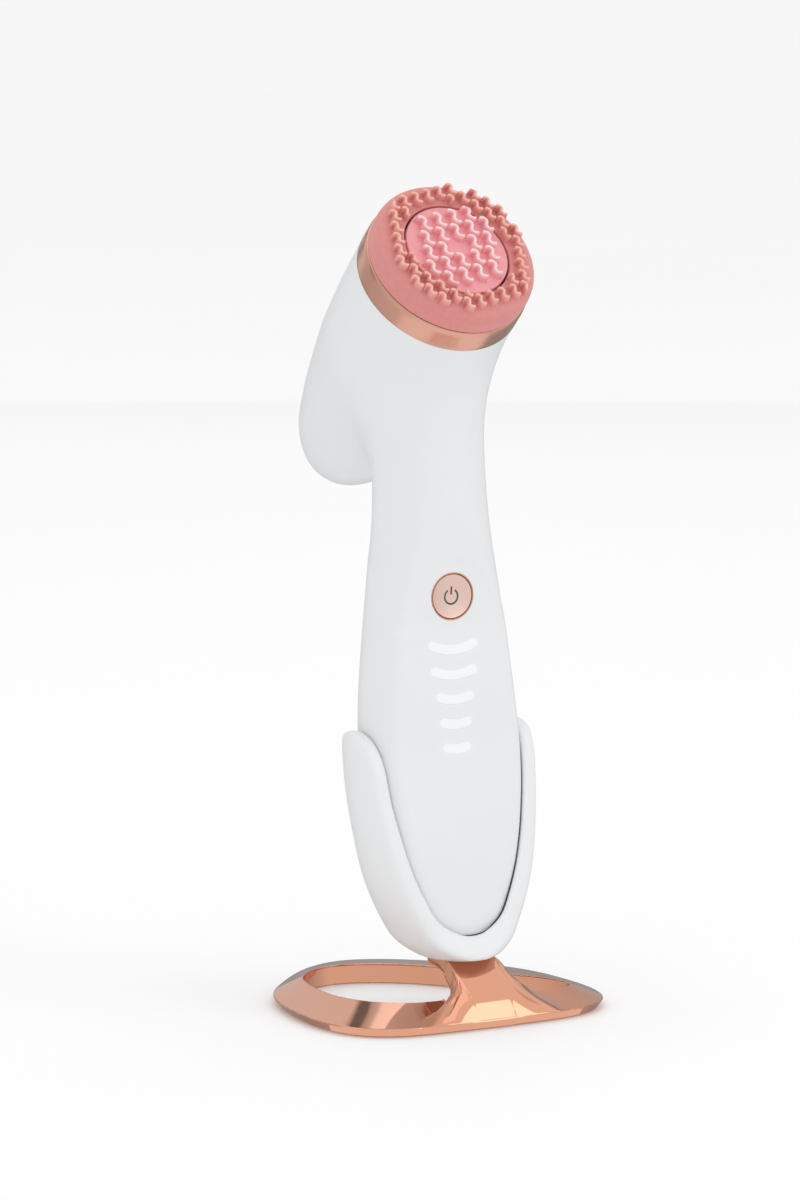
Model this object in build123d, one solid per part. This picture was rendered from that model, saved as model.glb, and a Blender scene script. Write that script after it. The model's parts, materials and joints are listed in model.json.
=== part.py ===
from build123d import *
import math
import os

# Facial cleansing brush: a cordless handset standing in an open cradle on a ring base.
# Millimetres. +Z up, -Y is the front (button side), X = 0 is the plane of symmetry.
# Origin: centre of the bounding box, on the surface that the feet stand on.

os.makedirs("parts", exist_ok=True)

# ------------------------------------------------------------------ driving dimensions
WALL = 2.2                      # housing wall
GAP = 0.45                      # cradle to handset
CRADLE_WALL = 3.7               # cradle wall beyond the handset
FOOT_PROUD = 0.4                # feet below the metal base

LEAN = 6.0                      # lean of the handle axis, degrees from vertical
HANDLE_ORIGIN = (0, -7.8, 95.0)

HEAD_ANGLE = 42.0               # elevation of the brush axis, degrees
BARREL_ANGLE = 43.2             # elevation of the barrel axis, degrees
HEAD_POINT = (0, -9.95, 179.3)  # centre of the barrel mouth
HEAD_R = 21.2                   # barrel radius at the mouth
RING_H = 6.4                    # height of the metal ring
BORE_R = 17.5                   # barrel bore
SHAFT_R = 2.0
FIT = 0.05                      # running fit, radial
STROKE = 1.0                    # brush stroke each way
FACE_T = 12.4                   # brush face above the barrel mouth
CORE_R = 13.06                  # inner brush disc
BRUSH_R = 20.9                  # outer brush ring
SPLIT = 0.8                     # gap between the two brush parts
NUB_H = 2.2                     # height of the silicone nubs
NUB_T = 0.9                     # thickness of the nubs
NUB_PITCH = (5.1, 4.1)

BUTTON_R = 5.45
BEZEL_R = 6.05
BUTTON_C = (0, -16.95, 103.1)   # middle of the button, on the front facet
BUTTON_TILT = -2.0              # button axis above the horizontal, degrees
BUTTON_TRAVEL = 0.6

SEAM_Y = 10.0                   # rear cover plane, behind the handle axis
SEAL_T = 0.6
COVER_Z = (-66.0, 22.0)         # rear cover span along the handle axis

# Handle sections: height, centre y, half width, half depth.
HANDLE = [
    (20.4, -17.2, 6.5, 8.0), (21.5, -17.0, 9.0, 10.0), (24.0, -16.6, 11.6, 12.0),
    (28.0, -15.9, 13.9, 13.7), (34.0, -14.9, 16.2, 15.3), (42.0, -13.7, 18.3, 16.7),
    (52.0, -12.2, 19.9, 17.4), (62.0, -11.0, 20.5, 17.8), (74.0, -9.6, 20.2, 17.2),
    (86.0, -8.5, 19.2, 15.9), (98.0, -7.7, 17.8, 14.6), (110.0, -6.9, 16.2, 13.5),
    (122.0, -6.1, 14.8, 12.8), (134.0, -5.2, 14.2, 12.7), (146.0, -3.6, 14.2, 12.9),
    (158.0, -0.6, 13.8, 12.8),
]
# Front facet of the handle, as a profile in the plane of symmetry: y, z.
FACET = [(-26.4, 16.0), (-25.4, 24.0), (-23.8, 38.0), (-21.5, 54.0), (-19.4, 66.5),
         (-18.2, 80.0), (-17.0, 90.7), (-16.8, 103.0), (-17.4, 110.0), (-18.7, 120.0), (-20.4, 127.0)]
# Barrel of revolution: distance behind the mouth, radius.
BARREL = [(-6.0, 21.2), (0.0, 21.2), (12.0, 21.1), (22.0, 20.6), (31.0, 19.7), (40.0, 18.4), (47.0, 17.2), (53.0, 15.9),
          (59.0, 14.4), (64.5, 12.1), (69.3, 8.8), (72.2, 5.0), (73.3, 0.0)]
# Cradle outer sections: height, centre y, half width, half depth.
CRADLE = [
    (14.2, -18.8, 6.0, 9.0), (15.5, -18.5, 10.0, 12.6), (18.0, -17.6, 13.6, 14.6), (22.0, -16.5, 16.5, 16.1),
    (27.0, -15.6, 18.8, 17.6), (34.0, -14.6, 21.2, 19.1), (43.0, -13.4, 22.9, 20.4), (55.0, -11.8, 24.2, 21.5),
    (64.0, -10.8, 24.5, 21.8), (73.0, -10.0, 24.4, 21.6),
]
# Side profile of the cradle band: front edge upwards, then back edge downwards, as y, z.
BAND_FRONT = [(-32.6, 13.0), (-31.0, 15.7), (-29.0, 18.8), (-27.3, 22.5), (-25.9, 28.0), (-24.4, 35.0), (-22.8, 43.0),
              (-21.3, 49.5), (-20.0, 55.0), (-18.6, 61.6), (-16.4, 66.4), (-13.2, 69.4), (-8.8, 70.6)]
BAND_BACK = [(-8.8, 70.6), (-4.0, 69.6), (0.2, 66.4), (2.6, 61.0), (2.9, 54.0), (1.6, 45.0), (-0.6, 36.0),
             (-2.6, 28.0), (-4.2, 21.0), (-5.0, 16.0), (-5.2, 13.0)]
# Base outlines, right half from back to front, as x, y.
BASE_OUT = [(0, 40.8), (8.3, 38.6), (15.6, 33.8), (21.6, 28.2), (27.0, 22.5), (31.8, 16.6), (35.4, 10.0), (37.7, 2.4),
            (38.9, -6.0), (39.3, -14.5), (38.3, -23.5), (34.8, -31.6), (28.0, -37.0), (19.0, -39.2), (9.5, -39.8), (0, -40.0)]
# Opening of the base, all the way round from the back; it is not quite symmetric.
BASE_IN = [(0, 20.6), (6.5, 15.9), (12.5, 8.8), (17.6, 1.6), (22.3, -5.9), (26.6, -12.6), (29.4, -19.0), (29.6, -24.0),
           (26.2, -26.9), (20.0, -27.2), (12.0, -26.0), (0, -25.2), (-8.5, -25.0), (-14.5, -24.2), (-19.5, -21.0),
           (-24.0, -16.1), (-26.9, -9.0), (-27.6, -1.0), (-26.6, 8.0), (-24.0, 15.4), (-18.9, 21.0), (-13.0, 23.7), (-6.0, 23.3)]
BASE_OUT = BASE_OUT + [(-x, y) for x, y in BASE_OUT[-2:0:-1]]
BASE_EDGE_Z = 2.3
BASE_RIM_Z = 5.2
DOCK_C = (0, -18.4)             # centre of the charging pocket
PAD_Z = 14.9                    # cradle seat on the tongue


SHIFT_Y = -3.31                 # sets the origin under the middle of the whole object


# ------------------------------------------------------------------ helpers
def lean_plane():
    a = math.radians(LEAN)
    return Plane(origin=HANDLE_ORIGIN, x_dir=(1, 0, 0), z_dir=(0, math.sin(a), math.cos(a)))


def axis_plane(angle):
    a = math.radians(angle)
    return Plane(origin=HEAD_POINT, x_dir=(1, 0, 0), z_dir=(0, -math.cos(a), math.sin(a)))


H = lean_plane()
B = axis_plane(HEAD_ANGLE)
K = Plane(origin=BUTTON_C, x_dir=(1, 0, 0), z_dir=(0, math.sin(math.radians(BUTTON_TILT)), math.cos(math.radians(BUTTON_TILT))))
BB = axis_plane(BARREL_ANGLE)


def put(plane, shape):
    return plane.location * shape


def rev(points, plane):
    """Solid of revolution about the plane's normal, from a closed list of radius, height."""
    face = make_face(Polyline(*[(r, 0, t) for r, t in points], close=True))
    return put(plane, revolve(face, axis=Axis.Z))


def tube(r0, r1, t0, t1, plane):
    return rev([(r0, t0), (r1, t0), (r1, t1), (r0, t1)], plane)


def cyl(r, t0, t1, plane, x=0.0, y=0.0):
    return put(plane, Pos(x, y, (t0 + t1) / 2) * Cylinder(r, abs(t1 - t0)))


def box(x0, x1, y0, y1, z0, z1, plane=None):
    b = Pos((x0 + x1) / 2, (y0 + y1) / 2, (z0 + z1) / 2) * Box(x1 - x0, y1 - y0, z1 - z0)
    return put(plane, b) if plane else b


def along_y(r, y0, y1, x, z, plane):
    """Cylinder along the plane's y axis."""
    c = Pos(x, (y0 + y1) / 2, z) * Rot(90, 0, 0) * Cylinder(r, abs(y1 - y0))
    return put(plane, c)


def stack(sections, dx=0.0, dz0=0.0, dz1=0.0):
    """Loft through ellipses; dx grows each half axis, dz0 and dz1 move the end sections."""
    faces = []
    last = len(sections) - 1
    for i, (z, yc, wx, wy) in enumerate(sections):
        z = z + (dz0 if i == 0 else 0) + (dz1 if i == last else 0)
        faces.append(Pos(0, yc, z) * Ellipse(wx + dx, wy + dx))
    return loft(faces)


def slab(profile, front=-70.0, dy=0.0, x=40.0):
    """Everything in front of a profile, extruded across the width."""
    pts = [(0, y + dy, z) for y, z in profile]
    curve = Spline(*pts)
    z0, z1 = profile[0][1], profile[-1][1]
    rest = Polyline(pts[-1], (0, front, z1), (0, front, z0), pts[0])
    face = make_face(Curve() + [curve, rest])
    return extrude(face, amount=x, dir=(1, 0, 0), both=True)


def save(name, shape):
    shape = Pos(0, SHIFT_Y, 0) * shape
    shape = shape if isinstance(shape, (Solid, Compound)) else Compound(shape)
    solids = shape.solids()
    out = solids[0] if len(solids) == 1 else Compound(children=list(solids))
    out.label = name
    export_step(out, "parts/%s.step" % name)


def group(*items):
    solids = []
    for it in items:
        solids += list(it.solids())
    return Compound(children=solids)


# ------------------------------------------------------------------ housing shapes
def barrel_solid(grow):
    pts = [(r + grow, 0, -s - (grow if i == len(BARREL) - 1 else 0)) for i, (s, r) in enumerate(BARREL[:-1])]
    end = (0, 0, -BARREL[-1][0] - grow)
    top = (0, 0, 6.0)
    curve = Spline(*pts, end, tangents=[(-0.02, 0, -1), (-1, 0, 0)])
    rest = Polyline(end, top, pts[0])
    face = make_face(Curve() + [curve, rest])
    body = put(BB, revolve(face, axis=Axis.Z))
    return body - box(-60, 60, -60, 60, 0, 60, B)


handle_out = stack(HANDLE)
handle_in = stack(HANDLE, dx=-WALL, dz0=WALL)
barrel_out = barrel_solid(0.0)
barrel_in = barrel_solid(-WALL)
facet_cut = slab(FACET)
facet_in = slab(FACET, dy=WALL)

NECK_FILLET = 10.0


def soften(body, radius):
    """Rounds the line where the handle runs into the barrel."""
    low, high = 130.0, 156.0
    lines = [e for e in body.edges() if low < e.bounding_box().max.Z < high and e.bounding_box().min.Z > low
             and e.bounding_box().size.X > 5.0]
    return body.fillet(radius, lines)


body_out = soften((handle_out - facet_cut) + barrel_out, NECK_FILLET)
body_in = (handle_in - facet_in) + barrel_in
bore = cyl(BORE_R, -27.0, 1.0, B)
mouth_block = cyl(40, -27.0, 0.5, B)

shell = body_out - (body_in - mouth_block) - bore

# Region behind the rear cover plane.
behind_cover = box(-40, 40, SEAM_Y, 60, COVER_Z[0], COVER_Z[1], H)
behind_seal = box(-40, 40, SEAM_Y - SEAL_T, 60, COVER_Z[0] - 0.15, COVER_Z[1] + 0.15, H)
seal_slab = box(-40, 40, SEAM_Y - SEAL_T, SEAM_Y, COVER_Z[0], COVER_Z[1], H)

SCREWS = [(-4.5, 15.2, 10.8), (4.5, 15.2, 10.8), (-5.0, -57.0, 12.6), (5.0, -57.0, 12.6)]   # x, z, head seat

front = shell - behind_seal
posts = None
for x, z, seat in SCREWS:
    p = along_y(2.5, -14.0, SEAM_Y - SEAL_T, x, z, H) & body_in
    front = front + p
# Boss around the button.
boss = along_y(7.4, -2.2, 3.1, 0, 0, K) & body_in
front = front + boss
for x, z, seat in SCREWS:
    front = front - along_y(0.92, 1.0, 12.0, x, z, H)
# Button pocket, stem hole and seal groove.
front = front - along_y(BEZEL_R, -9.0, 1.8, 0, 0, K)
front = front - along_y(2.6, 1.7, 2.1, 0, 0, K)
front = front - along_y(1.6, 0.8, 4.8, 0, 0, K)

# Light bars: width, height along the handle axis.
BARS = [(14.0, -5.3), (13.2, -11.5), (10.9, -17.7), (9.1, -23.9), (8.0, -30.0)]
BAR_H = 2.3
BAR_DROP = 1.1                  # how far a 14 mm bar's middle hangs below its ends


def bar_cut(width, z):
    half = (width - BAR_H) / 2
    sag = BAR_DROP * (width / 14.0) ** 2
    arc = ThreePointArc((-half, sag / 2), (0, -sag / 2), (half, sag / 2))
    face = SlotArc(arc, BAR_H)
    solid = extrude(face, amount=9.0)
    # The sketch lies in XY; turn it to stand in the handle's x-z plane, reaching through the front wall.
    return put(H, Pos(0, -5.2, z) * Rot(90, 0, 0) * solid)


bar_cuts = [bar_cut(w, z) for w, z in BARS]
front_wall = (handle_out - facet_cut) - (handle_in - facet_in)
bars = []
for c in bar_cuts:
    front = front - c
    bars.append(c & front_wall)
save("front_housing", front)
save("light_bars", group(*bars))

# ------------------------------------------------------------------ rear cover
cover = shell & behind_cover
for x, z, seat in SCREWS:
    cover = cover + (along_y(3.3, SEAM_Y, 14.0, x, z, H) & body_in)
for x, z, seat in SCREWS:
    cover = cover - along_y(1.1, 8.0, 20.0, x, z, H) - along_y(2.25, seat, 24.0, x, z, H)
save("rear_cover", cover)

seal = (shell & seal_slab)
for x, z, seat in SCREWS:
    seal = seal - along_y(1.1, 8.0, 12.0, x, z, H)
save("cover_seal", seal)

screws, plugs = [], []
for x, z, seat in SCREWS:
    screws.append(along_y(0.9, seat - 9.5, seat, x, z, H) + along_y(1.9, seat, seat + 0.9, x, z, H))
    plugs.append(along_y(2.2, seat + 0.95, 24.0, x, z, H) & body_out)
save("cover_screws", group(*screws))
save("screw_plugs", group(*plugs))

# ------------------------------------------------------------------ power button
# The button's frame stands on the facet: x across, z up the facet, -y outwards.
bezel = along_y(BEZEL_R - 0.02, -0.12, 1.8, 0, 0, K) - along_y(BUTTON_R + 0.15, -4.0, 4.0, 0, 0, K)
save("button_bezel", bezel)

cap = along_y(BUTTON_R, 0.03, 1.15, 0, 0, K)
DISH_R = 24.0
dish = put(K, Pos(0, 0.62 - DISH_R, 0) * Sphere(DISH_R))
stem = along_y(1.5, 1.0, 2.65, 0, 0, K)
button = (cap - dish) + stem


def power_mark(depth0, depth1, grow=0.0):
    """Open ring with an upright stroke, standing in the button's plane."""
    ring = Circle(2.0 + grow) - Circle(1.62 - grow)
    ring = ring - Pos(0, 1.8) * Rectangle(1.7 - 2 * grow, 2.4)
    stroke = Pos(0, 1.45) * Rectangle(0.42 + 2 * grow, 1.9 + 2 * grow)
    solids = [extrude(f, amount=depth1 - depth0) for f in (ring, stroke)]
    return [put(K, Pos(0, depth1, 0) * Rot(90, 0, 0) * s) for s in solids]


marks = power_mark(-1.2, 0.84)
inlay = []
for m in marks:
    inlay.append((m & cap) - dish)
    button = button - m
save("power_button", button)
save("button_mark", group(*inlay))

# O-ring around the stem, in its groove.
save("stem_seal", along_y(2.55, 1.75, 2.05, 0, 0, K) - along_y(1.55, 0.8, 2.8, 0, 0, K))

# ------------------------------------------------------------------ electronics in the handle
board = box(-8.5, 8.5, -5.6, -4.4, -33.0, 11.5, H)
save("main_board", board)
SWITCH_Z = 7.6                  # switch height along the handle axis, on the stem's line
save("tact_switch", box(-2.25, 2.25, -6.35, -5.6, SWITCH_Z - 2.25, SWITCH_Z + 2.25, H))
leds = []
for w, z in BARS:
    n = 3 if w > 12 else 2
    for i in range(n):
        x = (i - (n - 1) / 2) * 3.6
        leds.append(box(x - 0.8, x + 0.8, -6.2, -5.6, z - 0.6, z + 0.6, H))
save("status_leds", group(*leds))

battery = put(H, Pos(0, 4.0, -28.5) * Cylinder(7.0, 43.0))
save("battery", battery)
chassis = box(-8.6, 8.6, -4.3, 5.0, -52.2, -4.8, H) - put(H, Pos(0, 4.0, -28.5) * Cylinder(7.1, 43.4))
chassis = chassis - box(-5.0, 5.0, -2.0, 6.0, -60.0, -50.0, H) - box(-5.0, 5.0, -2.0, 6.0, -7.0, 0.0, H)
save("battery_tray", chassis)

# Charging coil and its ferrite at the foot of the handle.
FOOT = Plane(origin=(0, -17.0, 0))
save("charge_coil", tube(2.2, 5.4, 22.9, 24.1, FOOT))
save("charge_ferrite", cyl(5.6, 24.2, 24.8, FOOT))

# ------------------------------------------------------------------ head and drive
ring = rev([(16.4, -5.0), (17.42, -5.0), (17.42, 0), (21.2, 0), (21.25, 1.2), (21.1, 5.4), (20.75, 6.4), (16.4, 6.4)], B)
save("head_ring", ring)

SCREW_PCD = 14.4
bulkhead = rev([(3.2, -3.0), (6.0, -3.0), (6.0, 0), (16.32, 0), (16.32, 3.0), (6.0, 3.0), (6.0, 5.6), (4.1, 5.6), (4.1, 4.5),
                (3.2, 4.5)], B)
frame = rev([(12.6, -0.1), (12.6, -19.0), (3.2, -19.0), (3.2, -21.5), (16.2, -21.5), (16.2, -0.1)], B)
drive_screws = []
for k in range(3):
    a = math.radians(90 + 120 * k)
    x, y = SCREW_PCD * math.cos(a), SCREW_PCD * math.sin(a)
    bulkhead = bulkhead - cyl(0.98, -1, 4, B, x, y)
    frame = frame - cyl(0.92, -8, 1, B, x, y)
    drive_screws.append(cyl(0.9, -7.0, 3.0, B, x, y) + cyl(1.7, 3.0, 4.0, B, x, y))
save("bulkhead", bulkhead)
save("drive_frame", frame)
save("drive_screws", group(*drive_screws))
save("shaft_bushes", group(tube(SHAFT_R + FIT, 3.18, -2.9, 4.4, B), tube(SHAFT_R + FIT, 3.18, -21.4, -17.8, B)))
save("shaft_seal", tube(SHAFT_R + FIT, 4.05, 4.55, 5.5, B))
save("coil_yoke", rev([(8.6, -2.6), (12.55, -2.6), (12.55, -17.5), (8.6, -17.5), (8.6, -16.3), (11.4, -16.3), (11.4, -3.8),
                       (8.6, -3.8)], B))
save("coil_bobbin", rev([(7.7, -3.9), (11.3, -3.9), (11.3, -4.7), (8.4, -4.7), (8.4, -15.4), (11.3, -15.4), (11.3, -16.2),
                         (7.7, -16.2)], B))
save("drive_coil", tube(8.45, 11.1, -15.3, -4.8, B))
save("drive_shaft", cyl(SHAFT_R, -22.5, 9.0, B))
save("drive_magnet", tube(SHAFT_R + 0.01, 7.0, -13.2, -6.8, B))
save("pole_washers", group(tube(SHAFT_R + 0.01, 7.0, -14.4, -13.25, B), tube(SHAFT_R + 0.01, 7.0, -6.75, -5.6, B)))

# ------------------------------------------------------------------ silicone brush
carrier = rev([(14.3, 4.3), (16.2, 4.3), (16.2, 6.55), (20.2, 6.55), (20.2, 9.0), (14.3, 9.0)], B)
save("brush_carrier", carrier)
hub = rev([(0, 9.3), (12.5, 9.3), (12.5, 7.9), (4.4, 7.9), (4.4, 7.0), (SHAFT_R + 0.02, 7.0), (SHAFT_R + 0.02, 9.02), (0, 9.02)], B)
save("core_carrier", hub)

INNER_R = CORE_R + SPLIT
outer = rev([(INNER_R, 9.05), (20.25, 9.05), (20.25, 6.6), (BRUSH_R, 6.6), (BRUSH_R, 10.2), (20.55, 11.4), (20.1, 12.1), (19.4, FACE_T),
             (INNER_R, FACE_T)], B)
core = rev([(0, 9.35), (CORE_R, 9.35), (CORE_R, 12.1), (CORE_R - 0.3, FACE_T), (0, FACE_T)], B)


def nub(x, y, ang):
    """One S-shaped fin: two arcs of opposite bend, standing on the brush face."""
    r = 1.15
    a = CenterArc((-r, 0), r, 0, 150)
    b = CenterArc((r, 0), r, 180, 150)
    solids = []
    for arc in (a, b):
        solids.append(extrude(SlotArc(arc, NUB_T), amount=NUB_H + 0.2))
    s = solids[0] + solids[1]
    return put(B, Pos(x, y, FACE_T - 0.2) * Rot(0, 0, ang) * s)


NUB_TURN = -45.0                # lattice direction about the brush axis, degrees
ca, sa = math.cos(math.radians(NUB_TURN)), math.sin(math.radians(NUB_TURN))
core_nubs, ring_nubs = [], []
NUB_ZONE_R = 19.2
core_zone = tube(2.9, CORE_R - 0.25, FACE_T - 1.0, FACE_T + 5.0, B)
ring_zone = tube(INNER_R + 0.15, NUB_ZONE_R, FACE_T - 1.0, FACE_T + 5.0, B)
for i in range(-5, 6):
    for j in range(-6, 7):
        u, v = i * NUB_PITCH[0] + (NUB_PITCH[0] / 2 if j % 2 else 0.0), j * NUB_PITCH[1]
        x, y = u * ca - v * sa, u * sa + v * ca
        d = math.hypot(x, y)
        if 3.4 < d < CORE_R - 0.9:
            core_nubs.append(nub(x, y, NUB_TURN) & core_zone)
        elif INNER_R + 0.6 < d < NUB_ZONE_R + 0.4:
            ring_nubs.append(nub(x, y, NUB_TURN) & ring_zone)
print("nubs", len(core_nubs), len(ring_nubs))
core = core + core_nubs
outer = outer + ring_nubs
save("brush_ring", outer)
save("brush_core", core)

# ------------------------------------------------------------------ cradle
cradle_out = stack(CRADLE) - box(-40, 40, -60, 40, 0, PAD_Z)
cradle_in = stack(HANDLE[:10], dx=GAP, dz0=-GAP)
pts_f = [(0, y, z) for y, z in BAND_FRONT]
pts_b = [(0, y, z) for y, z in BAND_BACK]
band_face = make_face(Curve() + [Spline(*pts_f), Spline(*pts_b), Line(pts_b[-1], pts_f[0])])
band = extrude(band_face, amount=40, dir=(1, 0, 0), both=True)
cradle = (cradle_out & band) - cradle_in
DOCK = Plane(origin=(DOCK_C[0], DOCK_C[1], 0))
pocket = cyl(6.4, 10.0, 18.7, DOCK)
channel = box(-4.0, 4.0, -12.5, 0.0, 15.7, 19.6)
cradle = cradle - pocket - channel
BASE_SCREWS = [(-4.2, -25.3), (4.2, -25.3)]
SCREW_SEAT = 12.7
for x, y in BASE_SCREWS:
    cradle = cradle - cyl(0.92, 10.0, 18.6, Plane(origin=(x, y, 0)))
cradle = max(cradle.solids(), key=lambda s: s.volume)
save("cradle", cradle)

save("dock_cover", cyl(6.35, PAD_Z + 0.02, 15.6, DOCK))
dock_board = cyl(6.2, 15.75, 16.55, DOCK) + box(-3.8, 3.8, -12.5, -6.4, 15.75, 16.55)
save("dock_board", dock_board)
save("dock_coil", tube(2.2, 5.9, 16.9, 18.4, DOCK))
inlet = box(-3.8, 3.8, -11.0, -5.6, 16.6, 19.4) - box(-3.4, 3.4, -10.4, 0.0, 17.0, 19.0) + box(-2.4, 2.4, -10.6, -6.6, 17.8, 18.2)
save("usb_inlet", inlet)

# ------------------------------------------------------------------ base
def outline(points, z, scale=1.0, inset=0.0):
    out = []
    for x, y in points:
        d = math.hypot(x, y)
        k = scale * (d - inset) / d
        out.append((x * k, y * k, z))
    return Spline(*out, periodic=True)


def outline_face(points, z, inset=0.0):
    return make_face(Curve() + [outline(points, z, 1.0, inset)])


low = loft([outline_face(BASE_OUT, FOOT_PROUD, 1.3), outline_face(BASE_OUT, BASE_EDGE_Z)], ruled=True)
high = loft([outline_face(BASE_OUT, BASE_EDGE_Z), outline_face(BASE_IN, BASE_RIM_Z, -0.6)], ruled=True)
hole = extrude(outline_face(BASE_IN, -1.0), amount=12.0)
hollow_ring = (low + high) - hole

tongue_top = Spline((0, -39.7, 2.3), (0, -36.6, 6.35), (0, -31.4, 10.5), (0, -27.0, 13.2), (0, -23.6, PAD_Z))
tongue_low = Spline((0, -21.0, 12.5), (0, -25.6, 10.5), (0, -29.0, 6.6), (0, -31.0, 2.0))
tongue_face = make_face(Curve() + [tongue_top, Polyline((0, -23.6, PAD_Z), (0, -12.8, PAD_Z), (0, -12.0, 14.1), (0, -12.8, 12.5), (0, -21.0, 12.5)),
                                   tongue_low, Polyline((0, -31.0, 2.0), (0, -31.0, FOOT_PROUD), (0, -38.0, FOOT_PROUD), (0, -39.7, 2.3))])
tongue = extrude(tongue_face, amount=8.2, dir=(1, 0, 0), both=True)
# Plan of the tongue: narrow where it leaves the rim, a little wider under the cradle.
plan_r = [(2.8, -11.0), (4.6, -13.0), (6.1, -16.5), (6.5, -20.0), (6.5, -24.0), (5.9, -28.0), (5.5, -31.4), (6.2, -34.0), (8.2, -36.5), (8.2, -41.0)]
plan = make_face(Polyline(*[(x, y, -1) for x, y in plan_r], *[(-x, y, -1) for x, y in plan_r[::-1]], close=True))
tongue = tongue & extrude(plan, amount=20.0)
flare = loft([Pos(0, -33.4, 1.2) * Rectangle(34, 8.6), Pos(0, -31.9, 8.9) * Rectangle(12.0, 2.6)], ruled=True)
flare = flare & (extrude(outline_face(BASE_OUT, FOOT_PROUD, 0.7), amount=12))
base = hollow_ring + tongue + flare
for x, y in BASE_SCREWS:
    p = Plane(origin=(x, y, 0))
    base = base - cyl(1.05, 0.0, 20.0, p) - cyl(2.1, 0.0, SCREW_SEAT, p)
FEET = [(-19.2, 24.4, 2.1), (19.2, 24.4, 2.1), (-33.6, -16.5, 3.0), (33.6, -16.5, 3.0), (0.0, -34.0, 3.0)]
feet = []
for x, y, r in FEET:
    p = Plane(origin=(x, y, 0))
    base = base - cyl(r + 0.1, 0.0, 1.3, p)
    feet.append(cyl(r, 0.0, 1.25, p))
save("base_ring", base)
save("base_feet", group(*feet))

base_screws = []
for x, y in BASE_SCREWS:
    p = Plane(origin=(x, y, 0))
    base_screws.append(cyl(1.95, SCREW_SEAT - 1.3, SCREW_SEAT, p) + cyl(0.9, SCREW_SEAT, 18.3, p))
save("base_screws", group(*base_screws))

whole = [front, outer, core, base, cradle, cover]
b = Compound(children=[s for w in whole for s in w.solids()]).bounding_box()
print("bounding box", b.min, b.max)
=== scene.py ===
import json
import math

import bmesh
import bpy
import numpy as np
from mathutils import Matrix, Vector

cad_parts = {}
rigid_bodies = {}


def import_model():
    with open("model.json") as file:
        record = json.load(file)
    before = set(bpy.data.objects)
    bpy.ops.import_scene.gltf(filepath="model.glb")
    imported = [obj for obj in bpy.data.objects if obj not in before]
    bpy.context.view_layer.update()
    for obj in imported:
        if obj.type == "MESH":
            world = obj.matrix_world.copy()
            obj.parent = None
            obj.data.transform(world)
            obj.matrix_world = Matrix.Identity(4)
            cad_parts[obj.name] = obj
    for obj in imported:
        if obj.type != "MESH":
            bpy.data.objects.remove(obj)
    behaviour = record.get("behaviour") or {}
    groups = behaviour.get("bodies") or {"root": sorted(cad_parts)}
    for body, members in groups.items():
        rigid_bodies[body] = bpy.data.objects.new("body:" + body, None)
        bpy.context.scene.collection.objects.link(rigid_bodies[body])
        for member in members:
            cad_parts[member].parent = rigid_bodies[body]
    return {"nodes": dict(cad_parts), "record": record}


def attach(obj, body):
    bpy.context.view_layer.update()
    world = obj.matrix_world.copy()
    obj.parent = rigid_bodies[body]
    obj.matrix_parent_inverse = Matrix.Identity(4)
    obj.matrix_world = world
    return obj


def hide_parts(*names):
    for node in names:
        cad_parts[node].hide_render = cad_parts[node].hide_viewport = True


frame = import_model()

for left in ("Cube", "Light", "Camera"):
    if left in bpy.data.objects:
        bpy.data.objects.remove(bpy.data.objects[left], do_unlink=True)
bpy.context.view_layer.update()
MM = 0.001
SHIFT = np.array([0.0, -3.31, 0.0])     # design frame to row frame, mm
RNG = np.random.RandomState(7)


# =====================================================================  frames and tables (mm, design frame)
def unit(v):
    v = np.array(v, float)
    return v / np.linalg.norm(v)


P0 = np.array([0.0, -9.95, 179.3])       # centre of the barrel mouth
AX = math.radians(42.0)
BZ = np.array([0.0, -math.cos(AX), math.sin(AX)])           # brush axis, outwards
BX = np.array([1.0, 0.0, 0.0])
BY = np.cross(BZ, BX)
AB = math.radians(43.2)
BACK = np.array([0.0, math.cos(AB), -math.sin(AB)])         # barrel axis, towards the rear
BUP = np.cross(BX, BACK)
HO = np.array([0.0, -7.8, 95.0])
LEAN = math.radians(6.0)
HZ = np.array([0.0, math.sin(LEAN), math.cos(LEAN)])
HY = np.array([0.0, math.cos(LEAN), -math.sin(LEAN)])

KC = np.array([0.0, -16.95, 103.1])                         # middle of the button, on the facet
KT = math.radians(-2.0)
KN = np.array([0.0, -math.cos(KT), math.sin(KT)])
KU = np.array([0.0, math.sin(KT), math.cos(KT)])

HANDLE = np.array([
    (19.6, -17.3, 5.0, 6.2), (20.4, -17.2, 7.2, 8.6), (21.5, -17.0, 9.0, 10.0), (24.0, -16.6, 11.6, 12.0),
    (28.0, -15.9, 13.9, 13.7), (34.0, -14.9, 16.2, 15.3), (42.0, -13.7, 18.3, 16.7),
    (52.0, -12.2, 19.9, 17.4), (62.0, -11.0, 20.5, 17.8), (74.0, -9.6, 20.2, 17.2),
    (86.0, -8.5, 19.2, 15.9), (98.0, -7.7, 17.8, 14.6), (110.0, -6.9, 16.2, 13.5),
    (122.0, -6.1, 14.8, 12.8), (134.0, -5.2, 14.2, 12.7), (146.0, -3.6, 14.2, 12.9),
    (158.0, -0.6, 13.8, 12.8), (166.0, 2.0, 12.5, 12.0)])
FACET = np.array([(16.0, -26.4), (24.0, -25.4), (38.0, -23.8), (54.0, -21.5), (66.5, -19.4), (80.0, -18.2), (90.7, -17.0),
                  (103.0, -16.8), (110.0, -17.4), (120.0, -18.7), (127.0, -20.6), (134.0, -24.0), (150.0, -34.0)])
BARREL = np.array([(-12.0, 21.2), (-6.0, 21.2), (0.0, 21.2), (12.0, 21.1), (22.0, 20.6), (31.0, 19.7), (40.0, 18.4), (47.0, 17.2),
                   (53.0, 15.9), (59.0, 14.4), (64.5, 12.1), (69.3, 8.8), (72.2, 5.0), (73.3, 0.6)])
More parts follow.
